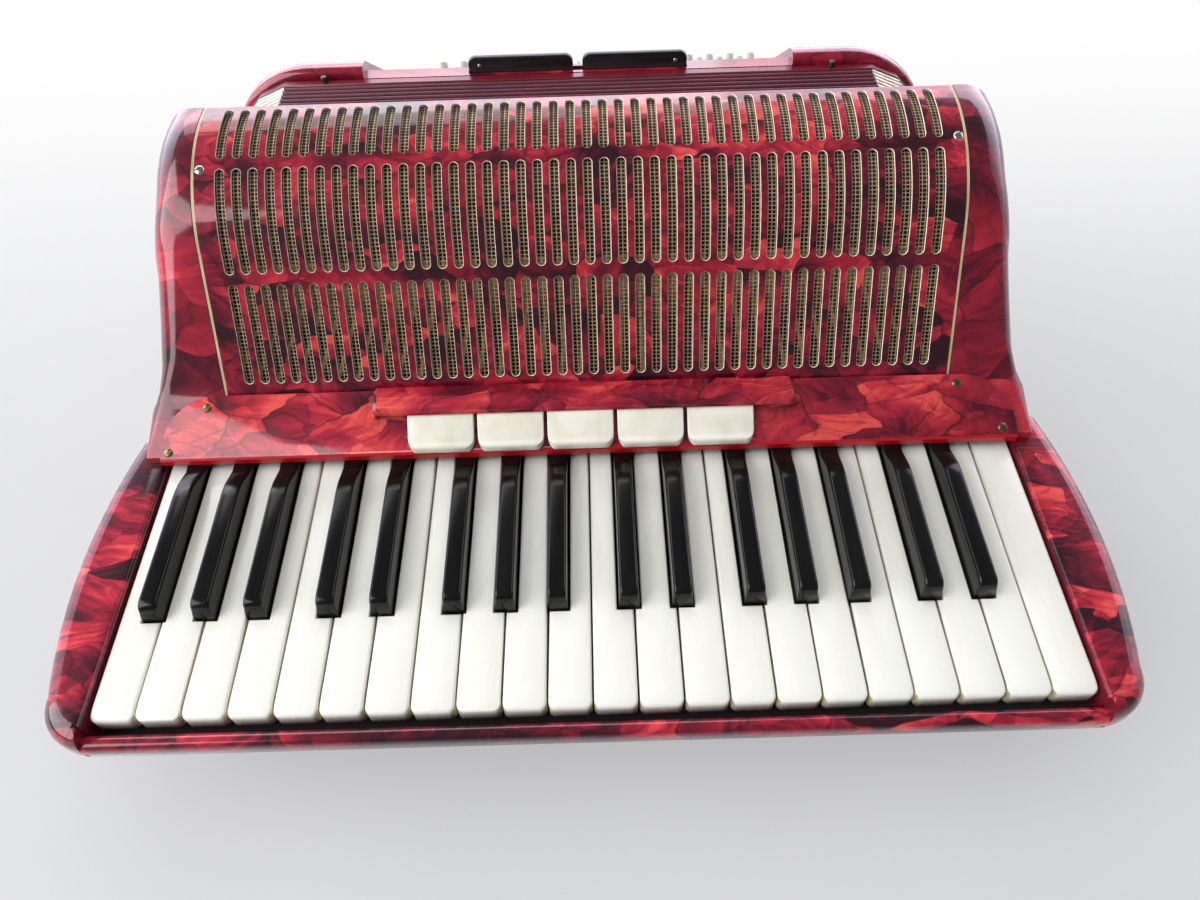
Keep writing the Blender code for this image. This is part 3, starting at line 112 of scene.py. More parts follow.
# Grille
GRILLE_FOOT = (0.160507, 0.098575)
GRILLE_SLOPE = math.radians(60)
GRILLE_RUN = 0.0733
CREST_RADIUS = 0.070
BODY_BACK = 0.263279
GRILLE_HALF = 0.1845
GRILLE_THICKNESS = 0.002
STRIP_WIDTH = 0.0013
SLOT_COUNT = 44
SLOT_PITCH = 0.00795
SLOT_WIDTH = 0.0042
CHAMFER = 0.00026
CHAMFER_DEPTH = 0.000416
GAUZE_WIRE = 0.0007
GAUZE_SUNK = 0.00245
SLOT_ROWS = ((0.0060, 0.0560), (0.0615, 0.1115), (0.1170, 0.1490))

# Treble casing
BODY_FRONT = 0.149
WING_FRONT = 0.134
BODY_HALF = 0.2074
FLARE_START = 0.222
FLARE_WIDTH = 0.019
TIP_TAPER = 0.0018
END_ROUND = 0.018
WING_BOTTOM = 0.0783
SOUNDBOARD_FRONT = 0.212279
SOUNDBOARD_BACK = 0.218279
REED_CHAMBER_HALF = 0.1904
REED_CHAMBER_TOP = 0.168054
ARM_ROOM_HALF = 0.21405
AXLE = (0.155, 0.069)
LEVER_BACK = 0.162
WALL = 0.006
BODY_STEP = 0.00015
ROOM_HALF = GRILLE_HALF - 0.0045

# Keyboard frame
FRAME_HALF = 0.244
FRAME_TOP = 0.078
FRAME_BOTTOM = 0.051
CHEEK_ROUND = 0.009
BED_TOP = 0.060
ROOM_FLOOR = BED_TOP - 0.0075
FRAME_WIDEST = 0.075
FRAME_WAIST = 0.009
FRAME_FRONT_TAPER = 0.010
FRAME_CORNER = 0.022
UNDER_ROUND = 0.013
RAIL_FRONT = 0.0105
RAIL_BACK = 0.0034
RAIL_TOP = 0.070
RAIL_ROUND = 0.0034
RAIL_HALF = 0.2168
POCKET_HALF = 0.2156

# Bellows
BELLOWS_START = 0.263579
BELLOWS_END = 0.295979
BELLOWS_HALF = 0.1924
BELLOWS_TOP = 0.188054
BELLOWS_BOTTOM = 0.004
BELLOWS_CHAMFER = 0.038
BELLOWS_FOLDS = 9
FOLD_PITCH = (BELLOWS_END - BELLOWS_START) / BELLOWS_FOLDS
FOLD_DEPTH = 0.005
BELLOWS_WALL = 0.024
FRAME_START = 0.296279
FRAME_DEPTH = 0.005

# Bass casing
BASS_START = 0.301579
BASS_FACE = 0.389579
BASS_HALF = 0.1904
BASS_TOP = 0.193054
BASS_CROWN = 0.007
BASS_SLOPE = math.radians(35)
BASS_SHOULDER = 0.048
BASS_FOOT_ROUND = 0.015
BASS_FACE_ROUND = 0.010
BASS_FRONT_ROUND = 0.0036
BASS_WALL = 0.008
BASS_HOLLOW_TOP = 0.10657
BOARD_HALF = 0.11295
BOARD_RIM = 0.008
BOARD_DROP = 0.0005
BOARD_SLOPE = math.radians(37)
BOARD_THICKNESS = 0.003
BUTTON_COLUMNS = 16
BUTTON_ROWS = 6
BUTTON_PITCH = 0.0112
BUTTON_SKEW = 0.0037
BUTTON_ROW_PITCH = 0.0115
FIRST_BUTTON_ROW = 0.016
BUTTON_HEIGHT = 0.0060
BUTTON_RADIUS = 0.0032

# Bass register paddles, hand strap, its wheel and the air button
PADDLE_DEPTH = 0.305579
PADDLE_WIDTH = 0.055
PADDLE_GAP = 0.005
PADDLE_HEIGHT = 0.008
PADDLE_THICKNESS = 0.003
PADDLE_CORNER = 0.004
STRAP_HALF = 0.1524
STRAP_PAD = 0.020
STRAP_BOTTOM = 0.027
STRAP_WIDTH = 0.058
STRAP_THICKNESS = 0.003
STRAP_BOW = 0.022
STITCH_LENGTH = 0.0034
STITCH_RADIUS = 0.0004
STRAP_SCREW = 0.0042
STRAP_SCREW_INSET = 0.009
WHEEL = (-0.1664, 0.380579, 0.056)
WHEEL_RADIUS = 0.012
WHEEL_THICKNESS = 0.005
PIN_REACH = 0.003
AIR_BUTTON = (-0.1524, 0.389579, 0.112)
AIR_RADIUS = 0.007
CASING_SCREW = 0.0024
PADDLE_SCREW = 0.0012
SCREW_SUNK = 0.0002
SEAT_GAP = 0.0003

# Limits: points in one place, points to weld, and a height above all pieces.
CLOSE = 0.0001
WELD = 0.00001
ABOVE_ALL = 0.21
WHITE = (1, 1, 1, 1)


def linear(colour):
    """An sRGB hex colour as a linear RGBA colour."""
    channels = [int(colour[i : i + 2], 16) / 255 for i in (0, 2, 4)]
    return (*[c / 12.92 if c <= 0.04045 else ((c + 0.055) / 1.055) ** 2.4 for c in channels], 1)


def feed(tree, node, inputs):
    """Gives each of a node's inputs a value, or links it to another node's output."""
    for name, value in inputs.items():
        if isinstance(value, bpy.types.NodeSocket):
            tree.links.new(value, node.inputs[name])
        else:
            node.inputs[name].default_value = value


def add_node(tree, kind, inputs=None, stops=(), **settings):
    """Adds a node and returns its outputs. The stops are those of a colour ramp."""
    made = tree.nodes.new(kind)
    for name, value in settings.items():
        setattr(made, name, value)
    if stops:
        elements = made.color_ramp.elements
        while len(elements) < len(stops):
            elements.new(0.5)
        for element, (place, colour) in zip(elements, stops):
            element.position = place
            element.color = linear(colour)
    feed(tree, made, inputs or {})
    return made.outputs


def new_finish(name, colour, roughness, **more):
    """A material with its plain values set, its nodes, its shader and its coordinates."""
    made = bpy.data.materials.new(name)
    made.use_nodes = True
    tree = made.node_tree
    shader = tree.nodes["Principled BSDF"]
    feed(tree, shader, {"Base Color": linear(colour), "Roughness": roughness})
    feed(tree, shader, {key.replace("_", " "): value for key, value in more.items()})
    return made, tree, shader, add_node(tree, "ShaderNodeTexCoord")["Object"]


def tint(tree, shader, share, low, high):
    """Runs a finish's colour from low to high with the share."""
    mixed = add_node(
        tree, "ShaderNodeMix", {0: share, 6: linear(low), 7: linear(high)}, data_type="RGBA"
    )
    feed(tree, shader, {"Base Color": mixed[2]})


def relieve(tree, shader, height, strength, distance):
    """Lets the light see a finish's fine relief."""
    relief = add_node(
        tree, "ShaderNodeBump", {"Height": height, "Strength": strength, "Distance": distance}
    )
    feed(tree, shader, {"Normal": relief["Normal"]})


def red_pearloid(name, facet, contrast, light, sheet):
    """Celluloid with pearl flakes, pressed in sheets and polished: folded facets, each painted
    lighter or darker as if lit at its own tilt, which paints in a satin sheen, from near black
    to coral, with dark creases, all under a clear smooth gloss. The sheets differ in the size
    of their facets, in contrast and in lightness, and each is cut from another place of the
    pattern, so that neighbouring pieces do not run on."""
    made, tree, shader, place = new_finish(
        name, "8c1220", 0.42,
        Metallic=0.15, Specular_IOR_Level=0.12, Coat_Weight=1.0, Coat_Roughness=0.09,
    )
    turned = add_node(
        tree, "ShaderNodeMapping",
        {"Vector": place, "Location": sheet, "Rotation": (0.5, 0.7, 0.9), "Scale": (0.75, 1.5, 1.0)},
    )["Vector"]
    # The sheet buckles over about the size of a facet before it is pressed flat.
    buckle = add_node(
        tree, "ShaderNodeTexNoise", {"Vector": turned, "Scale": 0.85 / facet, "Detail": 2.5}
    )["Color"]
    aside = add_node(
        tree, "ShaderNodeVectorMath", {0: buckle, 1: (facet, facet, facet), 2: turned},
        operation="MULTIPLY_ADD",
    )["Vector"]
    shades = []
    # Facets, and splinters between them of two fifths their size. Each is painted lighter or
    #     darker as if lit at its own tilt, a painted sheen, and is drawn in fine streaks across its
    #     own direction.
    large, small = 1 / facet, 2.5 / facet
    for scale in (large, small):
        flake = add_node(tree, "ShaderNodeTexVoronoi", {"Vector": aside, "Scale": scale})
        own = flake["Color"]
        away = add_node(
            tree, "ShaderNodeVectorMath", {0: aside, 1: flake["Position"]}, operation="SUBTRACT"
        )["Vector"]
        tilt = add_node(
            tree, "ShaderNodeVectorMath", {0: own, 1: (0.5, 0.5, 0.5)}, operation="SUBTRACT"
        )["Vector"]
        slope = add_node(
            tree, "ShaderNodeVectorMath", {0: away, 1: tilt}, operation="DOT_PRODUCT"
        )["Value"]
        level = add_node(
            tree, "ShaderNodeMath", {0: own, 1: 0.14 * contrast, 2: 0.5 - 0.07 * contrast},
            operation="MULTIPLY_ADD",
        )["Value"]
        # A random tone of the facet's own, plus painted light from its tilt.
        tone_and_painted_tilt_light = add_node(
            tree, "ShaderNodeMath", {0: slope, 1: 1.05 * contrast * scale, 2: level},
            operation="MULTIPLY_ADD",
        )["Value"]
        heading = add_node(tree, "ShaderNodeVectorMath", {0: own, 3: 6.3}, operation="SCALE")["Vector"]
        spun = add_node(
            tree, "ShaderNodeVectorRotate", {"Vector": away, "Rotation": heading},
            rotation_type="EULER_XYZ",
        )["Vector"]
        drawn_out = add_node(
            tree, "ShaderNodeMapping", {"Vector": spun, "Scale": (50.0, 330.0, 50.0)}
        )["Vector"]
        streak = add_node(
            tree, "ShaderNodeTexNoise", {"Vector": drawn_out, "Scale": 1.0, "Detail": 2.0}
        )["Fac"]
        dark = add_node(
            tree, "ShaderNodeMath", {0: tone_and_painted_tilt_light, 1: 0.35 * contrast}, operation="SUBTRACT"
        )["Value"]
        shade = add_node(
            tree, "ShaderNodeMath", {0: streak, 1: 0.7 * contrast, 2: dark}, operation="MULTIPLY_ADD"
        )["Value"]
        shades.append(shade)
    both = add_node(tree, "ShaderNodeMix", {0: 0.28, 2: shades[0], 3: shades[1]})[0]
    cloud = add_node(
        tree, "ShaderNodeTexNoise", {"Vector": turned, "Scale": 17.0, "Detail": 3.0}
    )["Fac"]
    shade = add_node(
        tree, "ShaderNodeMath", {0: cloud, 1: 1.0, 2: light - 0.50}, operation="MULTIPLY_ADD"
    )["Value"]
    total = add_node(tree, "ShaderNodeMath", {0: both, 1: shade}, operation="ADD")["Value"]
    stops = (
        (0.14, "2b0513"), (0.30, "54081d"), (0.44, "7c0f27"),
        (0.57, "9a1a30"), (0.70, "bb2c39"), (0.86, "dc4f49"),
    )
    colour = add_node(tree, "ShaderNodeValToRGB", {"Fac": total}, stops)["Color"]
    # Creases are hairlines of about 0.7 mm where two facets meet. Some of them fade out.
    fading = add_node(
        tree, "ShaderNodeMapRange",
        {"Value": cloud, "From Min": 0.40, "From Max": 0.62, "To Min": 0.18, "To Max": 0.85},
    )["Result"]
    for scale, width, least in ((large, 0.03, fading), (small, 0.04, 0.80)):
        crease = add_node(
            tree, "ShaderNodeTexVoronoi", {"Vector": aside, "Scale": scale},
            feature="DISTANCE_TO_EDGE",
        )["Distance"]
        share = add_node(
            tree, "ShaderNodeMapRange", {"Value": crease, "From Max": width, "To Min": least},
            interpolation_type="SMOOTHSTEP",
        )["Result"]
        colour = add_node(
            tree, "ShaderNodeMix", {0: share, 6: linear("30040b"), 7: colour}, data_type="RGBA"
        )[2]
    feed(tree, shader, {"Base Color": colour})
    # Only the pearl layer is uneven. The coat over it keeps the smooth normal.
    relieve(tree, shader, both, 0.30, 0.002)
    return made


def worn_plastic(name, colour, shadow, roughness, grain=(60.0, 6.0, 60.0), share=0.5, **more):
    """Moulded or sheet plastic: a faint cloudy grain in its colour and soft wear in its gloss."""
    made, tree, shader, place = new_finish(name, colour, roughness, **more)
    stretched = add_node(tree, "ShaderNodeMapping", {"Vector": place, "Scale": grain})["Vector"]
    cloud = add_node(
        tree, "ShaderNodeTexNoise", {"Vector": stretched, "Scale": 1.0, "Detail": 5.0}
    )["Fac"]
    amount = add_node(
        tree, "ShaderNodeMapRange",
        {"Value": cloud, "From Min": 0.42, "From Max": 0.78, "To Max": share},
    )["Result"]
    tint(tree, shader, amount, colour, shadow)
    rubbed = add_node(
        tree, "ShaderNodeMapRange",
        {"Value": cloud, "To Min": roughness - 0.06, "To Max": roughness + 0.12},
    )["Result"]
    feed(tree, shader, {"Roughness": rubbed})
    scuff = add_node(
        tree, "ShaderNodeTexNoise", {"Vector": place, "Scale": 420.0, "Detail": 3.0}
    )["Fac"]
    relieve(tree, shader, scuff, 0.05, 0.0004)
    return made


def metal(name, colour, tarnish, roughness, share=0.6, metallic=1.0):
    """Plated or solid metal with patches of tarnish about 4 mm across."""
    made, tree, shader, place = new_finish(name, colour, roughness, Metallic=metallic)
    spots = add_node(
        tree, "ShaderNodeTexNoise", {"Vector": place, "Scale": 260.0, "Detail": 4.0}
    )["Fac"]
    amount = add_node(
        tree, "ShaderNodeMapRange",
        {"Value": spots, "From Min": 0.45, "From Max": 0.70, "To Max": share},
    )["Result"]
    tint(tree, shader, amount, colour, tarnish)
    dulled = add_node(
        tree, "ShaderNodeMapRange",
        {"Value": amount, "To Min": roughness, "To Max": roughness + 0.25},
    )["Result"]
    feed(tree, shader, {"Roughness": dulled})
    return made


def woven(name, colour, shadow, thread, roughness, sheen=0.2, gap=0.5):
    """Cloth with a plain weave: two crossed rows of threads, given by their spacing."""
    made, tree, shader, place = new_finish(
        name, colour, roughness, Sheen_Weight=sheen, Sheen_Roughness=0.5
    )
    rows = [
        add_node(
            tree, "ShaderNodeTexWave", {"Vector": place, "Scale": 0.314 / thread, "Distortion": 0.4},
            wave_type="BANDS", bands_direction=direction,
        )["Fac"]
        for direction in ("X", "DIAGONAL")
    ]
    weave = add_node(
        tree, "ShaderNodeMath", {0: rows[0], 1: rows[1]}, operation="MULTIPLY"
    )["Value"]
    fade = add_node(
        tree, "ShaderNodeTexNoise", {"Vector": place, "Scale": 35.0, "Detail": 4.0}
    )["Fac"]
    depth = add_node(
        tree, "ShaderNodeMath", {0: weave, 1: gap, 2: 0.0}, operation="MULTIPLY_ADD"
    )["Value"]
    share = add_node(tree, "ShaderNodeMath", {0: depth, 1: fade}, operation="ADD")["Value"]
    tint(tree, shader, share, shadow, colour)
    relieve(tree, shader, weave, 0.4, 0.0002)
    return made


def grained_leather():
    """Black split leather: pebbled grain of about 1.2 mm, with broad lighter patches of wear, painted in
    as its sheen.
    """
    made, tree, shader, place = new_finish("black strap leather", "1b1918", 0.5)
    pebble = add_node(tree, "ShaderNodeTexVoronoi", {"Vector": place, "Scale": 850.0})["Distance"]
    wear_and_painted_sheen = add_node(
        tree, "ShaderNodeTexNoise", {"Vector": place, "Scale": 40.0, "Detail": 4.0}
    )["Fac"]
    tint(tree, shader, wear_and_painted_sheen, "0f0e0e", "2c2826")
    relieve(tree, shader, pebble, 0.35, 0.0003)
    return made


def planed_wood(name, light, dark, roughness):
    """Planed softwood: year rings about 2.5 mm apart, drawn out along the board."""
    made, tree, shader, place = new_finish(name, light, roughness)
    rings = add_node(
        tree, "ShaderNodeTexWave",
        {"Vector": place, "Scale": 125.0, "Distortion": 3.0, "Detail": 3.0},
        wave_type="BANDS", bands_direction="Z",
    )["Fac"]
    tint(tree, shader, rings, light, dark)
    relieve(tree, shader, rings, 0.1, 0.0003)
    return made


# The shell and the bass side: a calm sheet, in which the eye mostly sees the soft gloss.
PEARLOID = red_pearloid("red pearloid celluloid", 0.030, 0.6, 0.0, (0, 0, 0))
# The key cover: broad coral facets with dark star-like creases.
BROAD_PEARLOID = red_pearloid("broad coral pearloid", 0.026, 0.9, 0.13, (0.31, 0.12, 0.0))
# The cheeks and the rail: deep red, with glowing folds like brush marks.
CHEEK_PEARLOID = red_pearloid("deep red pearloid", 0.030, 1.25, -0.07, (0.13, 0.27, 0.1))
# The grille: the darkest sheet, with bright streaks of about 5 by 15 mm.
GRILLE_PEARLOID = red_pearloid("dark red pearloid", 0.021, 1.05, -0.03, (0.0, 0.4, 0.2))
# Edges are faced with a plain strip, which the eye takes as a thin bright red line.
RED_EDGE = worn_plastic("plain red celluloid", "b3121d", "7d0c16", 0.22, (90.0, 90.0, 90.0))
# Old sheet celluloid at the cut edges of the grille: dull cream with brown dirt.
CREAM_EDGE = worn_plastic("cream celluloid edging", "fff3dc", "cbb690", 0.35, (300, 120, 120), 0.4)
# The walls of the slots, painted dark brown as the shade inside them.
SLOT_WALL_PAINTED_SHADE = worn_plastic("slot wall painted dark as shade", "8d7853", "4b3b27", 0.6, (300, 120, 120), 0.8)
# The same celluloid let in beside the grille, browner from handling.
CREAM_BINDING = worn_plastic("aged cream binding", "c4af88", "8a7350", 0.35, (300, 60, 60), 0.8)
# Casein key tops: cool white, a little streaked along the key, polished by the fingers.
IVORY = worn_plastic(
    "casein white key top", "e6e6df", "d9d6ca", 0.24, (70.0, 10.0, 70.0), 0.4,
    Coat_Weight=0.3, Coat_Roughness=0.1,
)
# The same sheet where no finger rubs it: yellowed and duller.
IVORY_SIDE = worn_plastic("yellowed key side", "d8cfa8", "a2905c", 0.38, (90.0, 14.0, 300.0), 0.8)
# Phenolic black keys: deep black with a clear shine, dulled along the middle.
EBONY = worn_plastic(
    "polished black key plastic", "0a0a0b", "161514", 0.14, (160, 20, 160), 0.8,
    Specular_IOR_Level=0.32,
)
CREAM = worn_plastic(
    "cream switch plastic", "e7e4d7", "cfc8ae", 0.2, (110.0, 60.0, 110.0), 0.6,
    Coat_Weight=0.5, Coat_Roughness=0.06,
)
SATIN_BLACK = worn_plastic("satin black paddle plastic", "131314", "222121", 0.36, (70, 70, 300))
# Brass wire gauze gone brown: it glints only on the crests of its wires.
GILT = metal("gilt wire gauze", "bda585", "6b5843", 0.5, 0.6, 0.2)
BRASS = metal("aged brass screw", "8f7b5a", "4a3b28", 0.36)
NICKEL = metal("nickel plate", "c3c1b9", "8f8a78", 0.2)
CORNER_METAL = metal("bright bellows corner", "e4dfcf", "a59c84", 0.34, 0.5, 0.6)
DARK_STEEL = metal("dark steel pin", "5d574e", "2e2a26", 0.4)
STEEL = metal("bright steel rod", "b6b6b2", "86847c", 0.28)
# Calico over card, dyed maroon and gone a little grey on the folds.
BELLOWS_CLOTH = woven("maroon bellows cloth", "4a1426", "260a14", 0.0009, 0.7, 0.05)
BELLOWS_TAPE = woven("maroon fold tape", "6a2038", "3f1122", 0.0006, 0.55, 0.05)
FELT = woven("black key bed felt", "1a1817", "0c0b0b", 0.0008, 0.95, 0.4)
STRAP_THREAD = woven("waxed strap thread", "8d8371", "5c5445", 0.0006, 0.7)
# Maroon lacquer of the bellows frame. The same dark finish is put on the walls beside the keys as painted
# shade.
MAROON_LACQUER_AND_WALL_SHADE = worn_plastic("maroon lacquer, also painted shade on the key walls", "6c1a28", "3f0d17", 0.24, (50, 50, 50))
LEATHER = grained_leather()
SPRUCE = planed_wood("planed spruce", "c9a270", "a67c4b", 0.6)
# The inside of the casings: a dark stain, made darker still as painted shade for the rooms seen through
# the gauze's holes and the gaps.
INSIDE_STAIN_AND_SHADE = planed_wood("casing inside, dark stain and painted shade", "2b1a14", "1a110e", 0.8)


def mesh_object(name, bm):
    mesh = bpy.data.meshes.new(name)
    bm.to_mesh(mesh)
    bm.free()
    made = bpy.data.objects.new(name, mesh)
    bpy.context.scene.collection.objects.link(made)
    return made


def add_piece(name, bm, finishes, body, nodes=(), sharp=38):
    """Moves a mesh into the frame, gives its finishes and lets it ride on its body."""
    bmesh.ops.translate(bm, verts=bm.verts, vec=(0, KEY_FRONTS, 0))
    made = mesh_object(name, bm)
    for finish in finishes:
        made.data.materials.append(finish)
    made.data.shade_smooth()
    made.data.set_sharp_from_angle(angle=math.radians(sharp))
    if body:
        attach(made, body)
    if nodes:
        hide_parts(*nodes)
    return made


def bevel(bm, edges, width, segments):
    """Rounds edges, and returns the faces that this makes."""
    made = bmesh.ops.bevel(
        bm, geom=edges, offset=width, segments=segments, profile=0.5, affect="EDGES",
        offset_type="OFFSET", clamp_overlap=True, material=-1,
    )
    return made["faces"]


def paint(faces, index):
    for face in faces:
        face.material_index = index


def paint_where(faces, index, wanted):
    """Paints the faces whose middle and normal are wanted."""
    paint([face for face in faces if wanted(face.calc_center_median(), face.normal)], index)


def split(bm, y, **more):
    """Cuts all faces of a mesh at a depth."""
    bmesh.ops.bisect_plane(
        bm, geom=[*bm.verts, *bm.edges, *bm.faces], plane_co=(0, y, 0), plane_no=(0, 1, 0), **more
    )


def extrude(bm, faces, vec):
    """Gives faces a thickness in the vector's direction."""
    made = bmesh.ops.extrude_face_region(bm, geom=faces)
    moved = [v for v in made["geom"] if isinstance(v, bmesh.types.BMVert)]
    bmesh.ops.translate(bm, verts=moved, vec=vec)
    bmesh.ops.recalc_face_normals(bm, faces=bm.faces)


def rim_edges(bm, wanted, level=None, enough=all):
    """Edges with all ends, or any end, in the wanted place. A level edge keeps that coordinate."""
    rim = []
    for edge in bm.edges:
        ends = [v.co for v in edge.verts]
        if enough(wanted(co) for co in ends):
            if level is None or abs(ends[0][level] - ends[1][level]) < CLOSE:
                rim.append(edge)
    return rim


def arc(centre, radius, start, end, steps):
    angles = [start + (end - start) * i / steps for i in range(steps + 1)]
    return [(centre[0] + radius * math.cos(a), centre[1] + radius * math.sin(a)) for a in angles]


def drawn(outline, axis, low, high, index=0):
    """An outline in the plane across an axis, drawn out along that axis."""
    put = {
        "X": lambda a, b, c: (c, a, b),
        "Y": lambda a, b, c: (a, c, b),
        "Z": lambda a, b, c: (a, b, c),
    }[axis]
    bm = bmesh.new()
    face = bm.faces.new([bm.verts.new(put(a, b, low)) for a, b in outline])
    extrude(bm, [face], put(0, 0, high - low))
    paint(bm.faces, index)
    return bm


def rod(centre, radius, sides, axis, low, high):
    """A round bar along an axis."""
    return drawn(arc(centre, radius, 0, 2 * math.pi, sides)[:-1], axis, low, high)


def block(x, y, z):
    """A box from the (low, high) pairs of its three sides."""
    bm = bmesh.new()
    size = Vector((x[1] - x[0], y[1] - y[0], z[1] - z[0]))
    middle = Vector((x[0] + x[1], y[0] + y[1], z[0] + z[1])) / 2
    matrix = Matrix.Translation(middle) @ Matrix.Diagonal((*size, 1))
    bmesh.ops.create_cube(bm, size=1, matrix=matrix)
    return bm


def merge(bm, other):
    """Adds another bmesh to this one and frees the other."""
    spare = bpy.data.meshes.new("spare")
    other.to_mesh(spare)
    other.free()
    bm.from_mesh(spare)
    bpy.data.meshes.remove(spare)
    return bm


def grid(across, along):
    """A flat sheet, and (vert, column, row) of each of its verts."""
    bm = bmesh.new()
    bmesh.ops.create_grid(bm, x_segments=across, y_segments=along, size=1)
    places = []
    for vert in bm.verts:
        column = round((vert.co.x + 1) / 2 * across)
        places.append((vert, column, round((vert.co.y + 1) / 2 * along)))
    return bm, places


def skin(rings, closed=False):
    """A tube through rings of points. It leads back to the first, or both its ends are filled."""
    across = len(rings[0])
    bm, places = grid(across, len(rings) if closed else len(rings) - 1)
    for vert, i, j in places:
        vert.co = rings[j % len(rings)][i % across]
    bmesh.ops.remove_doubles(bm, verts=bm.verts, dist=0.000002 if closed else 0.000005)
    if not closed:
        bmesh.ops.holes_fill(bm, edges=[e for e in bm.edges if e.is_boundary], sides=0)
    bmesh.ops.recalc_face_normals(bm, faces=bm.faces)
    return bm


def carve(bm, cutters, operation="DIFFERENCE"):
    """Cuts each of the cutters from a solid, or joins it on. Faces keep their paint."""
    body = mesh_object("carving", bm)
    tools = []
    for cutter in cutters:
        tool = mesh_object("cutter", cutter)
        tools.append(tool)
        modifier = body.modifiers.new("carve", "BOOLEAN")
        modifier.operation = operation
        modifier.object = tool
    bpy.context.view_layer.update()
    shape = body.evaluated_get(bpy.context.evaluated_depsgraph_get())
    result = bmesh.new()
    result.from_mesh(shape.to_mesh())
    shape.to_mesh_clear()
    for spent in [body, *tools]:
        mesh = spent.data
        bpy.data.objects.remove(spent, do_unlink=True)
        bpy.data.meshes.remove(mesh)
    return result


def hollow_out(bm, cutters):
    """Cuts rooms from a casing, and paints their walls with its second finish."""
    for cutter in cutters:
        paint(cutter.faces, 1)
    return carve(bm, cutters)


def face_up(bm):
    bmesh.ops.recalc_face_normals(bm, faces=bm.faces)
    if sum(face.normal.z for face in bm.faces) < 0:
        bmesh.ops.reverse_faces(bm, faces=bm.faces)


def mirrored(right):
    """A ring from its right half, given from one end to the other."""
    return right + [(-x, z) for x, z in reversed(right)]


def grille_point(run, sunk=0.0):
    """(y, z) on the grille's outer line, a run along it from its foot, sunk below it."""
    if run <= GRILLE_RUN:
        angle = GRILLE_SLOPE
        y = GRILLE_FOOT[0] + run * math.cos(angle)
        z = GRILLE_FOOT[1] + run * math.sin(angle)
    else:
        angle = GRILLE_SLOPE - (run - GRILLE_RUN) / CREST_RADIUS
        y, z = grille_point(GRILLE_RUN)
        y += CREST_RADIUS * (math.sin(GRILLE_SLOPE) - math.sin(angle))
        z += CREST_RADIUS * (math.cos(angle) - math.cos(GRILLE_SLOPE))
    return y + sunk * math.sin(angle), z - sunk * math.cos(angle)


CREST_RUN = GRILLE_RUN + CREST_RADIUS * GRILLE_SLOPE
GRILLE_END = CREST_RUN + BODY_BACK - SEAT_GAP - grille_point(CREST_RUN)[0]


def crest_point(run, sunk=0.0):
    """As grille_point, level from the crest to the back of the casing."""
    if run <= CREST_RUN:
        return grille_point(run, sunk)
    y, z = grille_point(CREST_RUN, sunk)
    return y + run - CREST_RUN, z


def curve_runs(start, steps=22):
    length = CREST_RUN - GRILLE_RUN
    return [start] + [GRILLE_RUN + length * i / steps for i in range(steps + 1)] + [GRILLE_END]


def cover_point(run, sunk=0.0):
    """(y, z) on the key cover's upper face, a run up its slope, sunk below it."""
    y = COVER_FOOT[0] + run * math.cos(COVER_SLOPE) + sunk * math.sin(COVER_SLOPE)
    z = COVER_FOOT[1] + run * math.sin(COVER_SLOPE) - sunk * math.cos(COVER_SLOPE)
    return y, z


def cover_height(y):
    return COVER_FOOT[1] + (y - COVER_FOOT[0]) * math.tan(COVER_SLOPE)


def key_action(number, kind):
    """The lever, arm and pallet of a packed key, cut free behind its key top."""
    bm = bmesh.new()
    bm.from_mesh(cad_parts[f"{kind}_key_{number:02d}"].data)
    bmesh.ops.translate(bm, verts=bm.verts, vec=(0, -KEY_FRONTS, 0))
    bmesh.ops.remove_doubles(bm, verts=bm.verts, dist=WELD)
    split(bm, KEY_LENGTH + 2 * CLOSE, clear_inner=True)
    bmesh.ops.holes_fill(bm, edges=[e for e in bm.edges if e.is_boundary], sides=0)
    bmesh.ops.recalc_face_normals(bm, faces=bm.faces)
    paint(bm.faces, 2)
    return bm


def black_places():
    """(number of the white key at its left, x) of each black key."""
    places = []
    for white in range(WHITE_COUNT - 1):
        shift = BLACK_SHIFTS.get(white % 7)
        if shift is not None:
            places.append((white, (white + 1) * KEY_PITCH - KEYBOARD_HALF + shift))
    return places


def white_key(index):
    """A key top with its front edge rolled over, and its action behind it."""
    centre = (index + 0.5) * KEY_PITCH - KEYBOARD_HALF
    half = (KEY_PITCH - KEY_GAP) / 2
    sides = [centre - half, centre + half]
    for white, x in black_places():
        if white == index - 1:
            sides[0] = x + BLACK_WIDTH / 2 + KEY_GAP
        if white == index:
            sides[1] = x - BLACK_WIDTH / 2 - KEY_GAP
    corner = KEY_CORNER
    outline = []
    for tail, out in ((sides[1], 1), (sides[0], -1)):
        edge = centre + out * half
        points = arc((centre + out * (half - corner), corner), corner, -math.pi / 2, 0, 4)
        if out < 0:
            points = [(2 * (centre - half + corner) - x, y) for x, y in points]
        if abs(tail - edge) > 0.001:
            points += [(edge, HEAD_LENGTH), (tail, HEAD_LENGTH)]
        points.append((tail, KEY_LENGTH))
        outline += points if out > 0 else points[::-1]
    bm = drawn(outline, "Z", KEY_TOP - KEY_THICKNESS, KEY_TOP)
    bevel(bm, rim_edges(bm, lambda co: co.z > KEY_TOP - CLOSE), KEY_EDGE, 3)
    roll = KEY_ROLL
    for depth in (0.0015, 0.003, 0.005, roll):
        split(bm, depth)
    for vert in bm.verts:
        if vert.co.z > KEY_TOP - KEY_THICKNESS / 2 and vert.co.y < roll:
            vert.co.z -= KEY_DROP * ((roll - vert.co.y) / roll) ** 2
    low = KEY_TOP - 0.0015
    paint_where(bm.faces, 1, lambda middle, normal: middle.z < low and abs(normal.x) > 0.6)
    merge(bm, key_action(index + 1, "white"))
    name = f"white_key_{index + 1:02d}"
    add_piece(f"{name}_ivory", bm, (IVORY, IVORY_SIDE, SPRUCE), name, (name,), 50)


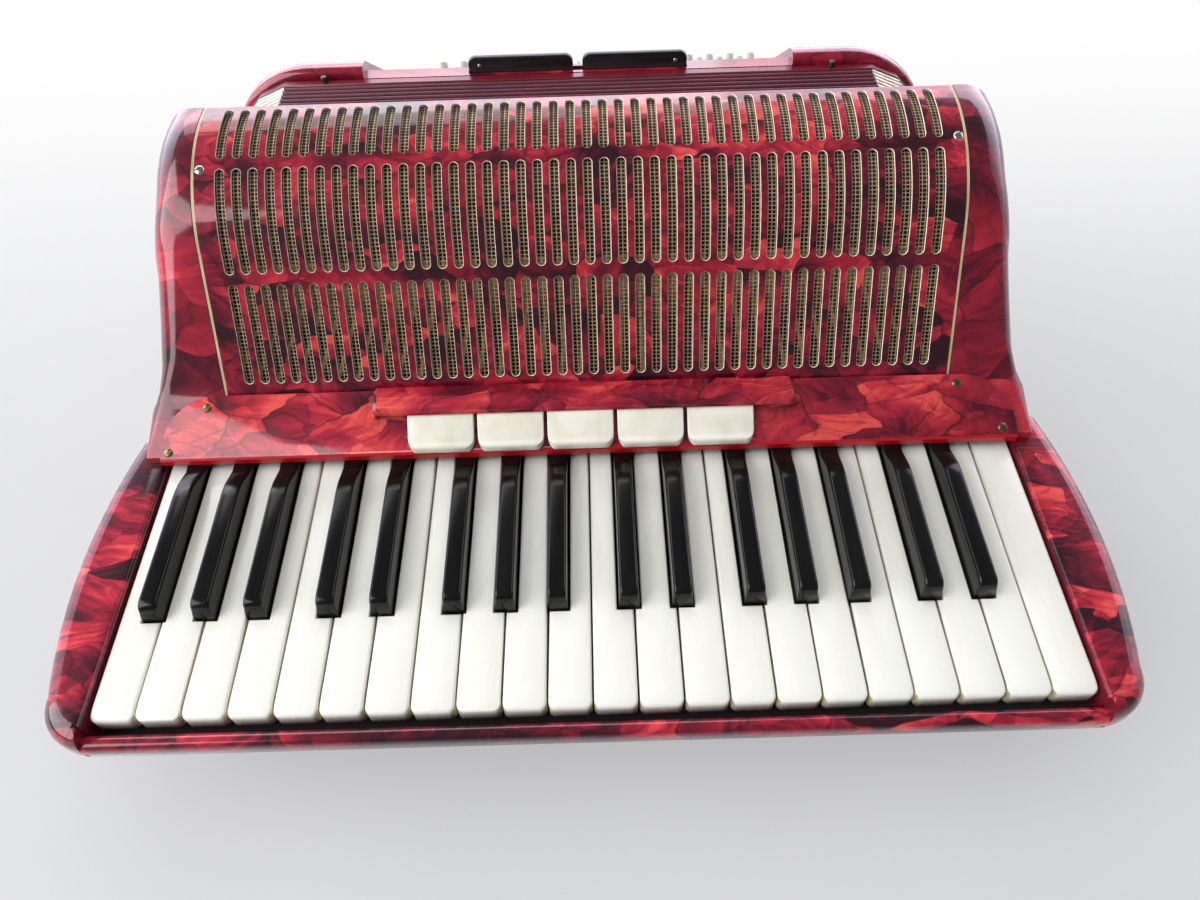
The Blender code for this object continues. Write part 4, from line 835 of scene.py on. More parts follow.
def black_key(number, x):
    """A tapered black top with a rounded nose, which dips under the key cover."""
    front = HEAD_LENGTH + KEY_GAP
    top = KEY_TOP + BLACK_HEIGHT
    tail = KEY_TOP + BLACK_TAIL_HEIGHT
    shoulder = KEY_LENGTH - BLACK_SHOULDER
    outline = [(front, KEY_TOP - KEY_THICKNESS), (front, KEY_TOP), (front + 0.0006, top - 0.0042)]
    nose = (front + 0.0052, top - BLACK_NOSE)
    outline += arc(nose, BLACK_NOSE, math.radians(172), math.radians(92), 7)
    outline += [(shoulder - 0.004, top), (shoulder, top - 0.0002), (shoulder + 0.005, top - 0.0011)]
    outline += [(COVER_LIP - 0.004, tail + 0.0008), (COVER_LIP, tail), (KEY_LENGTH, tail)]
    outline += [(KEY_LENGTH, KEY_TOP - KEY_THICKNESS)]
    bm = drawn(outline, "X", x - BLACK_WIDTH / 2, x + BLACK_WIDTH / 2)
    rim = rim_edges(bm, lambda co: co.z > KEY_TOP + 0.001 and co.y < COVER_LIP + 0.001, 0)
    bevel(bm, rim, BLACK_EDGE, 4)
    for vert in bm.verts:
        rise = max(0.0, (vert.co.z - KEY_TOP) / BLACK_HEIGHT)
        vert.co.x = x + (vert.co.x - x) * (1 - BLACK_TAPER * rise)
    merge(bm, key_action(number, "black"))
    name = f"black_key_{number:02d}"
    add_piece(f"{name}_ebony", bm, (EBONY, EBONY, SPRUCE), name, (name,), 50)


def frame_half(y):
    """Half width of the keyboard frame: widest beside the keys, drawn in at both ends."""
    if y > FRAME_WIDEST:
        share = (y - FRAME_WIDEST) / (BODY_FRONT - FRAME_WIDEST)
        return FRAME_HALF - FRAME_WAIST * share * share
    share = (FRAME_WIDEST - y) / FRAME_WIDEST
    return FRAME_HALF - FRAME_FRONT_TAPER * share * share


def keyboard_frame():
    """Broad rounded cheeks with a round rail between them, and the felted bed for the keys."""
    back = BODY_FRONT - SEAT_GAP
    turn = FRAME_CORNER - RAIL_FRONT
    half = []
    for i in range(20):
        y = back - (back - turn) * i / 20
        half.append((frame_half(y), y))
    half += arc((frame_half(turn) - FRAME_CORNER, turn), FRAME_CORNER, 0, -math.pi / 2, 12)
    bm = drawn(mirrored(half), "Z", FRAME_BOTTOM, FRAME_TOP)
    for level, width in ((FRAME_TOP, CHEEK_ROUND), (FRAME_BOTTOM, UNDER_ROUND)):
        at_level = rim_edges(bm, lambda co: abs(co.z - level) < CLOSE)
        rim = [e for e in at_level if min(v.co.y for v in e.verts) < back - 0.001]
        bevel(bm, rim, width, 7)
    low = BED_TOP - WALL / 2
    cutters = []
    for half, floor_z, ends in (
        (POCKET_HALF, BED_TOP, (-RAIL_BACK, BODY_FRONT)),
        (RAIL_HALF, low, (-RAIL_FRONT - WALL, SEAT_GAP - RAIL_BACK)),
    ):
        lip = 0.0022
        right = [(half, floor_z), (half, FRAME_TOP - lip)]
        right += arc((half + lip, FRAME_TOP - lip), lip, math.pi, math.pi / 2, 6)[1:]
        right.append((half + lip, FRAME_TOP + WALL))
        cutter = drawn(mirrored(right), "Y", *ends)
        # The pockets' walls below the cheeks' round edge take the dark lacquer as painted shade.
        paint_where(cutter.faces, 1, lambda middle, normal: middle.z < FRAME_TOP - lip - 0.001)
        cutters.append(cutter)
    bm = carve(bm, cutters)
    radius = RAIL_ROUND
    crown = RAIL_TOP - radius
    section = arc((-RAIL_BACK - radius, crown), radius, 0, math.pi / 2, 8)
    section += arc((-RAIL_FRONT + radius, crown), radius, math.pi / 2, math.pi, 8)
    section += [(-RAIL_FRONT + 0.0001, FRAME_BOTTOM + UNDER_ROUND)]
    section += [(-RAIL_FRONT + 0.0018, low - SEAT_GAP), (-RAIL_BACK, low - SEAT_GAP)]
    end = RAIL_HALF + SEAT_GAP
    bm = carve(bm, [drawn(section, "X", -end, end)], "UNION")

    def on_bed(middle, normal):
        inside = abs(middle.x) < POCKET_HALF + CLOSE and -RAIL_BACK < middle.y < BODY_FRONT
        return inside and middle.z < BED_TOP + 0.0005 and normal.z > 0.5

    paint_where(bm.faces, 2, on_bed)
    add_piece(
        "keyboard_frame_shell", bm, (CHEEK_PEARLOID, MAROON_LACQUER_AND_WALL_SHADE, FELT), "treble",
        ("keyboard_frame",),
    )


def flare(y):
    """How far the end walls swing out towards the keyboard."""
    foot = GRILLE_FOOT[0]
    share = max(0.0, (FLARE_START - max(y, foot)) / (FLARE_START - foot))
    tip = max(0.0, (foot - y) / (foot - WING_FRONT))
    return FLARE_WIDTH * share**1.4 - TIP_TAPER * tip


def wing_top(y):
    foot_y, foot_z = cover_point(0, COVER_THICKNESS)
    return foot_z + (y - foot_y) * math.tan(COVER_SLOPE) - SEAT_GAP


def casing_columns():
    """(y, top, bottom, slope of the top) of the treble casing from its tips to its back."""
    columns = []
    for i in range(5):
        y = WING_FRONT + (BODY_FRONT - WING_FRONT) * i / 4
        columns.append((y, wing_top(y), WING_BOTTOM, COVER_SLOPE))
    under = FRAME_BOTTOM / 2
    start = BODY_FRONT + BODY_STEP
    columns.append((start, wing_top(start), under, COVER_SLOPE))
    foot_y, foot_z = grille_point(0)
    for i in range(1, 4):
        y = start + (foot_y - 0.002 - start) * i / 3
        columns.append((y, wing_top(y), under * (1 - i / 3), COVER_SLOPE))
    columns.append((foot_y, foot_z, 0, (COVER_SLOPE + GRILLE_SLOPE) / 2))
    runs = [GRILLE_RUN * i / 10 for i in range(1, 10)] + curve_runs(GRILLE_RUN, 20)[1:]
    for run in runs:
        y, z = crest_point(run)
        slope = max(0.0, GRILLE_SLOPE - max(0.0, run - GRILLE_RUN) / CREST_RADIUS)
        columns.append((min(y, BODY_BACK), z, 0, slope))
    columns[-1] = (BODY_BACK, columns[-1][1], 0, 0)
    return columns


def rounded_section(half, y, top, bottom, radius, foot, slope=0.0):
    """A ring of points round a casing at one depth, with round shoulders and feet."""
    right = []
    for i in range(11):
        turn = math.pi / 2 * i / 10
        x = half - radius * (1 - math.sin(turn))
        right.append((x, top - radius * (1 - math.cos(turn)) / math.cos(slope)))
    for i in range(5):
        turn = math.pi / 2 * i / 4
        x = half - foot * (1 - math.cos(turn))
        right.append((x, bottom + foot * (1 - math.sin(turn))))
    return [(x, y, z) for x, z in mirrored(right)]


def arm_room_rings():
    """The channel in which the key arms run from the keys back to the soundboard."""
    reach = SOUNDBOARD_FRONT - 0.005 - LEVER_BACK
    plan = [
        (WING_FRONT - WALL, KEYBOARD_HALF - WALL, ABOVE_ALL),
        (BODY_FRONT - BODY_STEP, KEYBOARD_HALF - WALL, ABOVE_ALL),
        (BODY_FRONT, ARM_ROOM_HALF, WING_BOTTOM),
        (AXLE[0], ARM_ROOM_HALF, WING_BOTTOM),
        (LEVER_BACK, ARM_ROOM_HALF, WING_BOTTOM + WALL),
    ]
    for share, rise in ((0.3, 0.75), (0.8, 1.0), (1.0, 1.0)):
        half = ARM_ROOM_HALF + share * (ROOM_HALF - ARM_ROOM_HALF)
        plan.append((LEVER_BACK + share * reach, half, AXLE[1] + rise * 0.049))
    return [
        [(-h, y, ROOM_FLOOR), (h, y, ROOM_FLOOR), (h, y, top), (-h, y, top)] for y, h, top in plan
    ]


def treble_casing():
    """The red shell with its swept end walls, hollowed for the grille, the arms and the reeds."""
    rings = []
    for y, top, bottom, slope in casing_columns():
        radius = min(END_ROUND, 0.0012 + 0.45 * (y - WING_FRONT))
        foot = 0.0008 if bottom >= WING_BOTTOM else 0.008
        rings.append(rounded_section(BODY_HALF + flare(y), y, top, bottom, radius, foot, slope))
    bm = skin(rings)
    depth = GRILLE_THICKNESS + 0.0005 + 2 * SEAT_GAP
    seat = [crest_point(run, depth) for run in curve_runs(-depth)]
    seat[-1] = (BODY_BACK + WALL, seat[-1][1])
    seat += [(seat[-1][0], ABOVE_ALL), (WING_FRONT, ABOVE_ALL), (WING_FRONT, seat[0][1])]
    half = GRILLE_HALF + SEAT_GAP
    inner = (-ROOM_HALF, ROOM_HALF)
    room = block(inner, (BODY_FRONT + WALL, SOUNDBOARD_FRONT), (WALL, ABOVE_ALL))
    mouth = block(inner, (WING_FRONT - WALL, BODY_FRONT + 2 * WALL), (ROOM_FLOOR, ABOVE_ALL))
    chamber = block(
        (-REED_CHAMBER_HALF, REED_CHAMBER_HALF), (SOUNDBOARD_BACK, BODY_BACK + WALL),
        (WALL, REED_CHAMBER_TOP),
    )
    socket = ARM_ROOM_HALF + 0.0033
    bore = rod(AXLE, 0.0018, 12, "X", -socket, socket)
    cutters = [drawn(seat, "X", -half, half), room, mouth, chamber, skin(arm_room_rings()), bore]
    # The rooms and the seat behind the gauze take the dark inside finish, partly painted shade.
    bm = hollow_out(bm, cutters)
    add_piece(
        "treble_casing_shell", bm, (PEARLOID, INSIDE_STAIN_AND_SHADE, RED_EDGE), "treble",
        ("treble_casing",),
    )


def slot_side(start, end):
    """Points of a slot's right side, round at both ends: (distance from its middle, run)."""
    radius = SLOT_WIDTH / 2
    turns = [math.pi / 2 * i / 5 for i in range(6)]
    low = [(radius * math.sin(turn), start + radius * (1 - math.cos(turn))) for turn in turns]
    turns = [math.pi / 2 * (1 - i / 5) for i in range(6)]
    high = [(radius * math.sin(turn), end - radius * (1 - math.cos(turn))) for turn in turns]
    return [*low, (radius, (start + end) / 2), *high]


def grille_plate():
    """The slotted plate: cut flat as one sheet, bent over the crest, then given its thickness."""
    half = GRILLE_HALF - STRIP_WIDTH
    runs = [0.0]
    rows = []
    for start, end in SLOT_ROWS:
        points = slot_side(start, end)
        rows.append((len(runs), len(runs) + len(points) - 1, points))
        runs += [run for _, run in points]
    runs.append(GRILLE_END)
    first = (SLOT_COUNT - 1) * SLOT_PITCH / 2
    lines = [-half]
    for i in range(SLOT_COUNT):
        x = i * SLOT_PITCH - first
        lines += [x - SLOT_WIDTH / 2, x, x + SLOT_WIDTH / 2]
        if i < SLOT_COUNT - 1:
            lines.append(x + SLOT_PITCH / 2)
    lines.append(half)
    across = len(lines) - 1
    bm, places = grid(across, len(runs) - 1)
    for vert, i, j in places:
        vert.co = (lines[i], runs[j], 0)
    spots = {vert: (i, j) for vert, i, j in places}
    holes = []
    for face in bm.faces:
        columns, levels = zip(*[spots[v] for v in face.verts])
        left = min(columns)
        in_slot = (left - 1) % 4 in (0, 1) and 1 <= left and max(columns) <= across - 1
        if in_slot and any(low <= min(levels) and max(levels) <= high for low, high, _ in rows):
            holes.append(face)
    for vert, i, j in places:
        for low, high, points in rows:
            if low <= j <= high and 1 <= i <= across - 1:
                reach = points[j - low][0]
                kind = (i - 1) % 4
                if kind == 0:
                    vert.co.x = lines[i + 1] - reach
                if kind == 2:
                    vert.co.x = lines[i - 1] + reach
    bmesh.ops.delete(bm, geom=holes, context="FACES")
    bmesh.ops.remove_doubles(bm, verts=bm.verts, dist=0.00002)
    for i in range(17):
        split(bm, GRILLE_RUN + (CREST_RUN - GRILLE_RUN) * i / 16)
    # Each slot has a chamfer, where the cream back of the sheet shows.
    made = bmesh.ops.inset_region(
        bm, faces=list(bm.faces), thickness=CHAMFER, use_boundary=True, use_even_offset=True
    )
    reach = first + SLOT_WIDTH
    near, far = SLOT_ROWS[0][0] - 0.001, SLOT_ROWS[-1][1] + 0.001
    paint_where(
        made["faces"], 1, lambda middle, normal: abs(middle.x) < reach and near < middle.y < far
    )
    rims = {
        v for e in bm.edges if e.is_boundary for v in e.verts
        if abs(v.co.x) < reach and 0.001 < v.co.y < GRILLE_END - 0.001
    }
    for vert in bm.verts:
        y, z = crest_point(vert.co.y, CHAMFER_DEPTH if vert in rims else 0.0)
        vert.co = (vert.co.x, y, z)
    face_up(bm)
    plate = add_piece(
        "grille_plate", bm, (GRILLE_PEARLOID, CREAM_EDGE, SLOT_WALL_PAINTED_SHADE), "treble", ("grille",),
        25,
    )
    solid = plate.modifiers.new("thickness", "SOLIDIFY")
    solid.thickness = GRILLE_THICKNESS
    solid.offset = -1
    # The slots' walls take the third finish, painted dark as their shade.
    solid.material_offset_rim = 1


def grille_strips():
    """Cream edging let in along both sides of the grille."""
    bm = bmesh.new()
    runs = curve_runs(0.0)
    outline = [crest_point(run, CLOSE) for run in runs]
    outline += [crest_point(run, GRILLE_THICKNESS) for run in reversed(runs)]
    for side in (-1, 1):
        ends = sorted((side * (GRILLE_HALF - STRIP_WIDTH), side * GRILLE_HALF))
        merge(bm, drawn(outline, "X", *ends))
    add_piece("grille_edging", bm, (CREAM_BINDING,), "treble", (), 30)


def grille_gauze():
    """Gauze behind the slots: a sheet punched with square holes, four to each slot's pitch."""
    mesh = SLOT_PITCH / 4
    half = 89 * mesh
    first, last = 0.0045, 0.1505
    bm, places = grid(178, round((last - first) / mesh))
    for vert, _, _ in places:
        vert.co = (vert.co.x * half, first + (vert.co.y + 1) / 2 * (last - first), 0)
    faces = [
        f for f in bm.faces
        if any(start - 0.003 < f.calc_center_median().y < end + 0.003 for start, end in SLOT_ROWS)
    ]
    bmesh.ops.inset_individual(bm, faces=faces, thickness=GAUZE_WIRE / 2, use_even_offset=False)
    bmesh.ops.delete(bm, geom=faces, context="FACES")
    for vert in bm.verts:
        y, z = crest_point(vert.co.y, GAUZE_SUNK)
        vert.co = (vert.co.x, y, z)
    face_up(bm)
    add_piece("grille_gauze", bm, (GILT,), "treble", ("grille_mesh",), 30)


def hood_outline(inset):
    """The hood's section over the switches' rear ends, from its lip back to the cover."""
    y = HOOD_LIP
    z = cover_height(y) + HOOD_CLEAR
    crown_y = y + HOOD_REACH * 0.42
    crown_z = z + HOOD_RISE / 2 - inset
    reach = HOOD_REACH * 0.42 - inset
    points = []
    for i in range(9):
        turn = math.radians(10 * i)
        points.append((crown_y - reach * math.cos(turn), z + (crown_z - z) * math.sin(turn)))
    back = y + HOOD_REACH
    points.append((crown_y + HOOD_REACH * 0.12, crown_z))
    points.append((crown_y + HOOD_REACH * 0.26, crown_z - 0.0004))
    points.append((back - inset * 1.5, cover_height(back) + HOOD_WALL * 1.2 - inset / 2))
    return points


def hood_piece(outline, half):
    return drawn(outline, "X", HOOD_CENTRE - half, HOOD_CENTRE + half)


def key_cover():
    """The sloping plate over the keys' rear ends, with a red lip and the hood over the switches."""
    step = COVER_LIP_HEIGHT
    edge = (COVER_LIP + 0.0009, COVER_LIP_BOTTOM + step - 0.0003)
    outline = [(COVER_LIP, COVER_LIP_BOTTOM), (COVER_LIP, COVER_LIP_BOTTOM + 0.7 * step), edge]
    outline += [cover_point(0.0006, 0), cover_point(COVER_LENGTH, 0)]
    outline += [cover_point(COVER_LENGTH, COVER_THICKNESS)]
    under_y, under_z = cover_point(0, COVER_THICKNESS)
    outline += [(under_y, under_z), (under_y, COVER_LIP_BOTTOM)]
    bm = drawn(outline, "X", -COVER_HALF, COVER_HALF)
    paint_where(bm.faces, 1, lambda middle, normal: middle.z < edge[1] or middle.y < edge[0])
    inner = (COVER_HALF - COVER_CORNER, COVER_LENGTH - COVER_CORNER)
    far = COVER_HALF + COVER_THICKNESS
    top = COVER_LENGTH + COVER_THICKNESS
    points = [(far, inner[1]), *arc(inner, COVER_CORNER, 0, math.pi / 2, 16), (inner[0], top), (far, top)]
    tilt = Matrix.Translation((0, *cover_point(0, 0))) @ Matrix.Rotation(COVER_SLOPE, 4, "X")
    cutters = []
    for side in (-1, 1):
        corner = drawn([(side * a, b) for a, b in points], "Z", -0.006, 0.006, 1)
        corner.transform(tilt)
        cutters.append(corner)
    bm = carve(bm, cutters)
    upward = Vector((0, -math.sin(COVER_SLOPE), math.cos(COVER_SLOPE)))
    rim = []
    for corner in bm.edges:
        bend = math.degrees(corner.calc_face_angle(0.0))
        high = (corner.verts[0].co + corner.verts[1].co).z / 2 > COVER_FOOT[1] + 0.001
        if bend > 60 and high and max(f.normal.dot(upward) for f in corner.link_faces) > 0.99:
            rim.append(corner)
    paint(bevel(bm, rim, COVER_EDGE, 3), 1)
    back = HOOD_LIP + HOOD_REACH
    sunk = COVER_THICKNESS / 2
    root = [(y, cover_height(y) - sunk) for y in (back - HOOD_WALL, HOOD_LIP + 0.0035)]
    bulge = hood_piece(hood_outline(0) + root, HOOD_HALF)
    ends = rim_edges(bulge, lambda co: co.z - cover_height(co.y) > HOOD_WALL, 0)
    bevel(bulge, ends, HOOD_ROUND, 6)
    bm = carve(bm, [bulge], "UNION")
    mouth = HOOD_LIP - 2 * HOOD_WALL
    floor = [(y, cover_height(y) - SEAT_GAP / 2) for y in (back - 3 * HOOD_WALL, mouth)]
    floor.append((mouth, cover_height(HOOD_LIP) + HOOD_CLEAR))
    bm = carve(bm, [hood_piece(hood_outline(HOOD_WALL) + floor, HOOD_HALF - HOOD_WALL)])

    def underneath(middle, normal):
        low = middle.z < cover_height(middle.y) - COVER_THICKNESS / 2
        return low and middle.y > COVER_FOOT[0] + 0.002

    paint_where(bm.faces, 2, underneath)
    add_piece(
        "key_cover_plate", bm, (BROAD_PEARLOID, RED_EDGE, INSIDE_STAIN_AND_SHADE), "treble", ("key_cover",),
        30,
    )


def hood_lip():
    """The bright red strip along the hood's lower edge."""
    centre = (HOOD_LIP + 0.0007, cover_height(HOOD_LIP) + HOOD_CLEAR)
    bm = hood_piece(arc(centre, 0.00068, 0, 2 * math.pi, 12)[:-1], HOOD_HALF - 0.004)
    add_piece("hood_lip", bm, (RED_EDGE,), "treble", (), 50)


def round_front(bm, x, half, front, radius):
    """Draws in the sides near a piece's front, so that its front corners are round in plan."""
    for share in (0.06, 0.16, 0.30, 0.48, 0.72, 1.0):
        split(bm, front + share * radius)
    for vert in bm.verts:
        ahead = radius - (vert.co.y - front)
        if ahead > 0:
            drawn_in = radius - math.sqrt(max(0.0, radius * radius - min(ahead, radius) ** 2))
            vert.co.x = x + (vert.co.x - x) * (half - drawn_in) / half


def register_switch(number):
    """A cushion shaped switch that comes out from under the hood, with its barrel on the axle."""
    x = SWITCH_CENTRE + (number - 3) * SWITCH_PITCH
    y, z = SWITCH_AXLE
    edge, barrel = SWITCH_EDGE, SWITCH_BARREL
    front = y - SWITCH_LENGTH
    foot = cover_height(front) + COVER_THICKNESS
    outline = [(front + edge, foot - edge), (front + 0.0001, foot + 0.4 * edge)]
    nose = (front + 2.5 * edge, foot + 3.6 * edge)
    outline += arc(nose, 2.45 * edge, math.pi, math.radians(105), 6)
    low, high = (front + 4.5 * edge, foot + 6.5 * edge), (y - 3 * barrel, z - edge)
    outline.append(low)
    for share in (0.35, 0.7):
        outline.append((low[0] + share * (high[0] - low[0]), low[1] + share * (high[1] - low[1])))
    outline += [high, (y - 2 * barrel, z)]
    outline += arc(SWITCH_AXLE, barrel, math.radians(130), math.radians(-130), 16)
    outline += [(front + 4.5 * edge, foot + 1.5 * edge)]
    half = SWITCH_WIDTH / 2
    bm = drawn(outline, "X", x - half, x + half)
    bevel(bm, rim_edges(bm, lambda co: co.y < y - barrel, 0), SWITCH_ROUND, 4)
    round_front(bm, x, half, front, SWITCH_CORNER)
    bm = carve(bm, [rod(SWITCH_AXLE, 0.0015, 16, "X", x - SWITCH_WIDTH, x + SWITCH_WIDTH)])
    if number == RAISED_SWITCH:
        turn = Matrix.Rotation(-SWITCH_LIFT, 3, "X")
        bmesh.ops.rotate(bm, verts=bm.verts, cent=(x, y, z), matrix=turn)
    name = f"register_switch_{number}"
    add_piece(f"{name}_cushion", bm, (CREAM,), name, (name,), 40)


def screw(name, point, normal, radius, finish, body, turn=0.6):
    """A domed screw head with its slot, set on a surface."""
    bm = bmesh.new()
    bmesh.ops.create_uvsphere(bm, u_segments=24, v_segments=12, radius=1)
    for vert in bm.verts:
        x, y, z = vert.co
        vert.co = (x * radius, y * radius, max(0.0, z) * radius * 0.42 - (0.0004 if z < -0.1 else 0))
    bmesh.ops.remove_doubles(bm, verts=bm.verts, dist=WELD)
    width = radius * 0.16
    groove = block((-2 * radius, 2 * radius), (-width, width), (radius * 0.18, radius))
    groove.transform(Matrix.Rotation(turn, 4, "Z"))
    bm = carve(bm, [groove])
    spin = Vector(normal).to_track_quat("Z", "Y").to_matrix().to_4x4()
    bm.transform(Matrix.Translation(point) @ spin)
    return add_piece(name, bm, (finish,), body, (), 30)


def casing_screws():
    """Brass screws through the cover's corners, and nickel screws through the edge of the grille."""
    for name, x, run in (
        ("upper_left", -0.1928, 0.0253), ("upper_right", 0.1874, 0.0266),
        ("lower_left", -0.2118, 0.0030), ("lower_right", 0.2087, 0.0034),
    ):
        point = (x, *cover_point(run, SCREW_SUNK))
        normal = (0, -math.sin(COVER_SLOPE), math.cos(COVER_SLOPE))
        screw(f"cover_screw_{name}", point, normal, CASING_SCREW, BRASS, "treble")
    for name, x, run, turn in (("left", -0.1805, 0.1115, 0.2), ("right", 0.1805, 0.1172, 1.1)):
        slope = GRILLE_SLOPE - max(0.0, run - GRILLE_RUN) / CREST_RADIUS
        point = (x, *crest_point(run, SCREW_SUNK))
        normal = (0, -math.sin(slope), math.cos(slope))
        screw(
            f"grille_screw_{name}", point, normal, CASING_SCREW, NICKEL, "treble", turn
        )


def bellows_ring(inset):
    """(x, z) of the bellows' outline, with its corners cut off, drawn in by the inset."""
    half = BELLOWS_HALF - inset
    top = BELLOWS_TOP - inset
    bottom = BELLOWS_BOTTOM + inset
    slant = BELLOWS_CHAMFER - inset * (2 - math.sqrt(2))
    near, far = 0.16 * slant, 0.62 * slant
    return mirrored([
        (half - slant, bottom), (half - far, bottom + near), (half - near, bottom + far),
        (half, bottom + slant), (half, top - slant), (half - near, top - far),
        (half - far, top - near), (half - slant, top),
    ])


def ring_at(y, inset):
    """The bellows' outline as a ring, with each side split so that it shades evenly."""
    corners = bellows_ring(inset)
    ring = []
    for i, (x, z) in enumerate(corners):
        next_x, next_z = corners[(i + 1) % len(corners)]
        parts = 4 if abs(next_x - x) + abs(next_z - z) > 0.06 else 1
        for j in range(parts):
            share = j / parts
            ring.append((x + (next_x - x) * share, y, z + (next_z - z) * share))
    return ring


def bellows():
    """The folded cloth tube, which stretches from the treble casing to the bass side."""
    rings = [ring_at(BELLOWS_START, FOLD_DEPTH * 0.9)]
    # Each fold has a round back, with a narrow crease at either side.
    profile = (
        (0.04, 1.0), (0.16, 0.55), (0.26, 0.16), (0.36, 0.03),
        (0.50, 0.0), (0.64, 0.03), (0.74, 0.16), (0.84, 0.55), (0.96, 1.0),
    )
    for i in range(BELLOWS_FOLDS):
        for share, inset in profile:
            y = BELLOWS_START + i * FOLD_PITCH + share * FOLD_PITCH
            rings.append(ring_at(y, inset * FOLD_DEPTH))
    rings.append(ring_at(BELLOWS_END, FOLD_DEPTH * 0.9))
    rings += [ring_at(BELLOWS_END, BELLOWS_WALL), ring_at(BELLOWS_START, BELLOWS_WALL)]
    bm = skin(rings, closed=True)
    paint_where(
        bm.faces, 1,
        lambda middle, normal: 0.25 < (middle.y - BELLOWS_START) / FOLD_PITCH % 1 < 0.75,
    )
    cloth = add_piece(
        "bellows_folds", bm, (BELLOWS_CLOTH, BELLOWS_TAPE), None, ("bellows",), 45
    )
    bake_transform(cloth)


def bellows_corners():
    """Stepped metal corners, one bent over the slant of each fold."""
    bm = bmesh.new()
    corners = [Vector((x, 0, z)) for x, z in bellows_ring(0.0)]
    centre = Vector((0, 0, (BELLOWS_TOP + BELLOWS_BOTTOM) / 2))
    section = ((0.20, 0.0007), (0.34, -0.00008), (0.66, -0.00008), (0.80, 0.0007))
    overlap, thickness, lift = 0.0005, 0.0005, 0.00012
    for i in range(BELLOWS_FOLDS):
        middle = BELLOWS_START + (i + 0.5) * FOLD_PITCH
        for start in (0, 1, 2, 4, 5, 6, 8, 9, 10, 12, 13, 14):
            a, b = corners[start : start + 2]
            along = (b - a).normalized()
            normal = Vector((along.z, 0, -along.x))
            if normal.dot((a + b) / 2 - centre) < 0:
                normal = -normal
            low, high = a - along * overlap, b + along * overlap
            strip, places = grid(6, 3)
            for vert, _, j in places:
                share, inset = section[j]
                spot = low + (high - low) * ((vert.co.x + 1) / 2) - normal * (inset + lift)
                vert.co = (spot.x, middle + (share - 0.5) * FOLD_PITCH, spot.z)
            extrude(strip, list(strip.faces), -normal * thickness)
            merge(bm, strip)
    corner_metal = add_piece(
        "bellows_corner_metal", bm, (CORNER_METAL,), None, (), 35
    )
    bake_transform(corner_metal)


def bellows_frame():
    """The lacquered wooden frame that closes the bellows towards the bass casing."""
    edge = 0.0006
    front, back = FRAME_START, FRAME_START + FRAME_DEPTH
    plan = (
        (front, edge), (front + edge, 0.0), (back - edge, 0.0),
        (back, edge), (back, BELLOWS_WALL), (front, BELLOWS_WALL),
    )
    bm = skin([ring_at(y, inset) for y, inset in plan], closed=True)
    add_piece(
        "bellows_frame_ring", bm, (MAROON_LACQUER_AND_WALL_SHADE,), "bass", ("bellows_frame",), 35
    )


def frame_pins():
    """Two dark steel pins that hold the bellows frame to the bass casing."""
    for end, x in (("left", -0.133), ("right", 0.133)):
        place = (x, FRAME_START + 0.0025)
        bm = rod(place, 0.0016, 20, "Z", BELLOWS_TOP - 0.002, BELLOWS_TOP + 0.0034)
        bevel(bm, rim_edges(bm, lambda co: co.z > BELLOWS_TOP + 0.003), 0.0005, 2)
        add_piece(f"frame_pin_{end}", bm, (DARK_STEEL,), "bass", (), 40)


def board_point(run, sunk=0.0):
    """(y, z) on the sloping bed of the bass buttons, a run down it from its top edge."""
    y = BASS_START + BOARD_RIM + run * math.cos(BOARD_SLOPE) - sunk * math.sin(BOARD_SLOPE)
    z = BELLOWS_TOP - BOARD_DROP - run * math.sin(BOARD_SLOPE) - sunk * math.cos(BOARD_SLOPE)
    return y, z


def bass_columns():
    """(y, top, inset) of the bass casing from its front edge over its roof to its face."""
    crown = BASS_START + BASS_CROWN
    edge = BASS_FACE - BASS_FACE_ROUND
    fall = math.tan(BASS_SLOPE)
    columns = []
    for i in range(6):
        turn = math.pi / 2 * i / 5
        inset = BASS_FRONT_ROUND * (1 - math.sin(turn))
        y = BASS_START + BASS_FRONT_ROUND * (1 - math.cos(turn))
        columns.append((y, BASS_TOP - inset, inset))
    # The roof bends down over 6 mm, and then falls evenly.
    bend = 0.006
    start = crown - 0.001
    for i in range(5):
        y = start + bend * (i / 4)
        columns.append((y, BASS_TOP - 0.5 * fall * bend * (i / 4) * (i / 4), 0.0))
    ridge, top, _ = columns[-1]
    offset = top + (ridge - crown) * fall
    for i in range(1, 7):
        y = ridge + (edge - ridge) * i / 6
        columns.append((y, offset - (y - crown) * fall, 0.0))
    for i in range(1, 9):
        turn = math.pi / 2 * i / 8
        y = edge + BASS_FACE_ROUND * math.sin(turn)
        inset = BASS_FACE_ROUND * (1 - math.cos(turn))
        columns.append((y, offset - (y - crown) * fall - inset / 2, inset))
    return columns


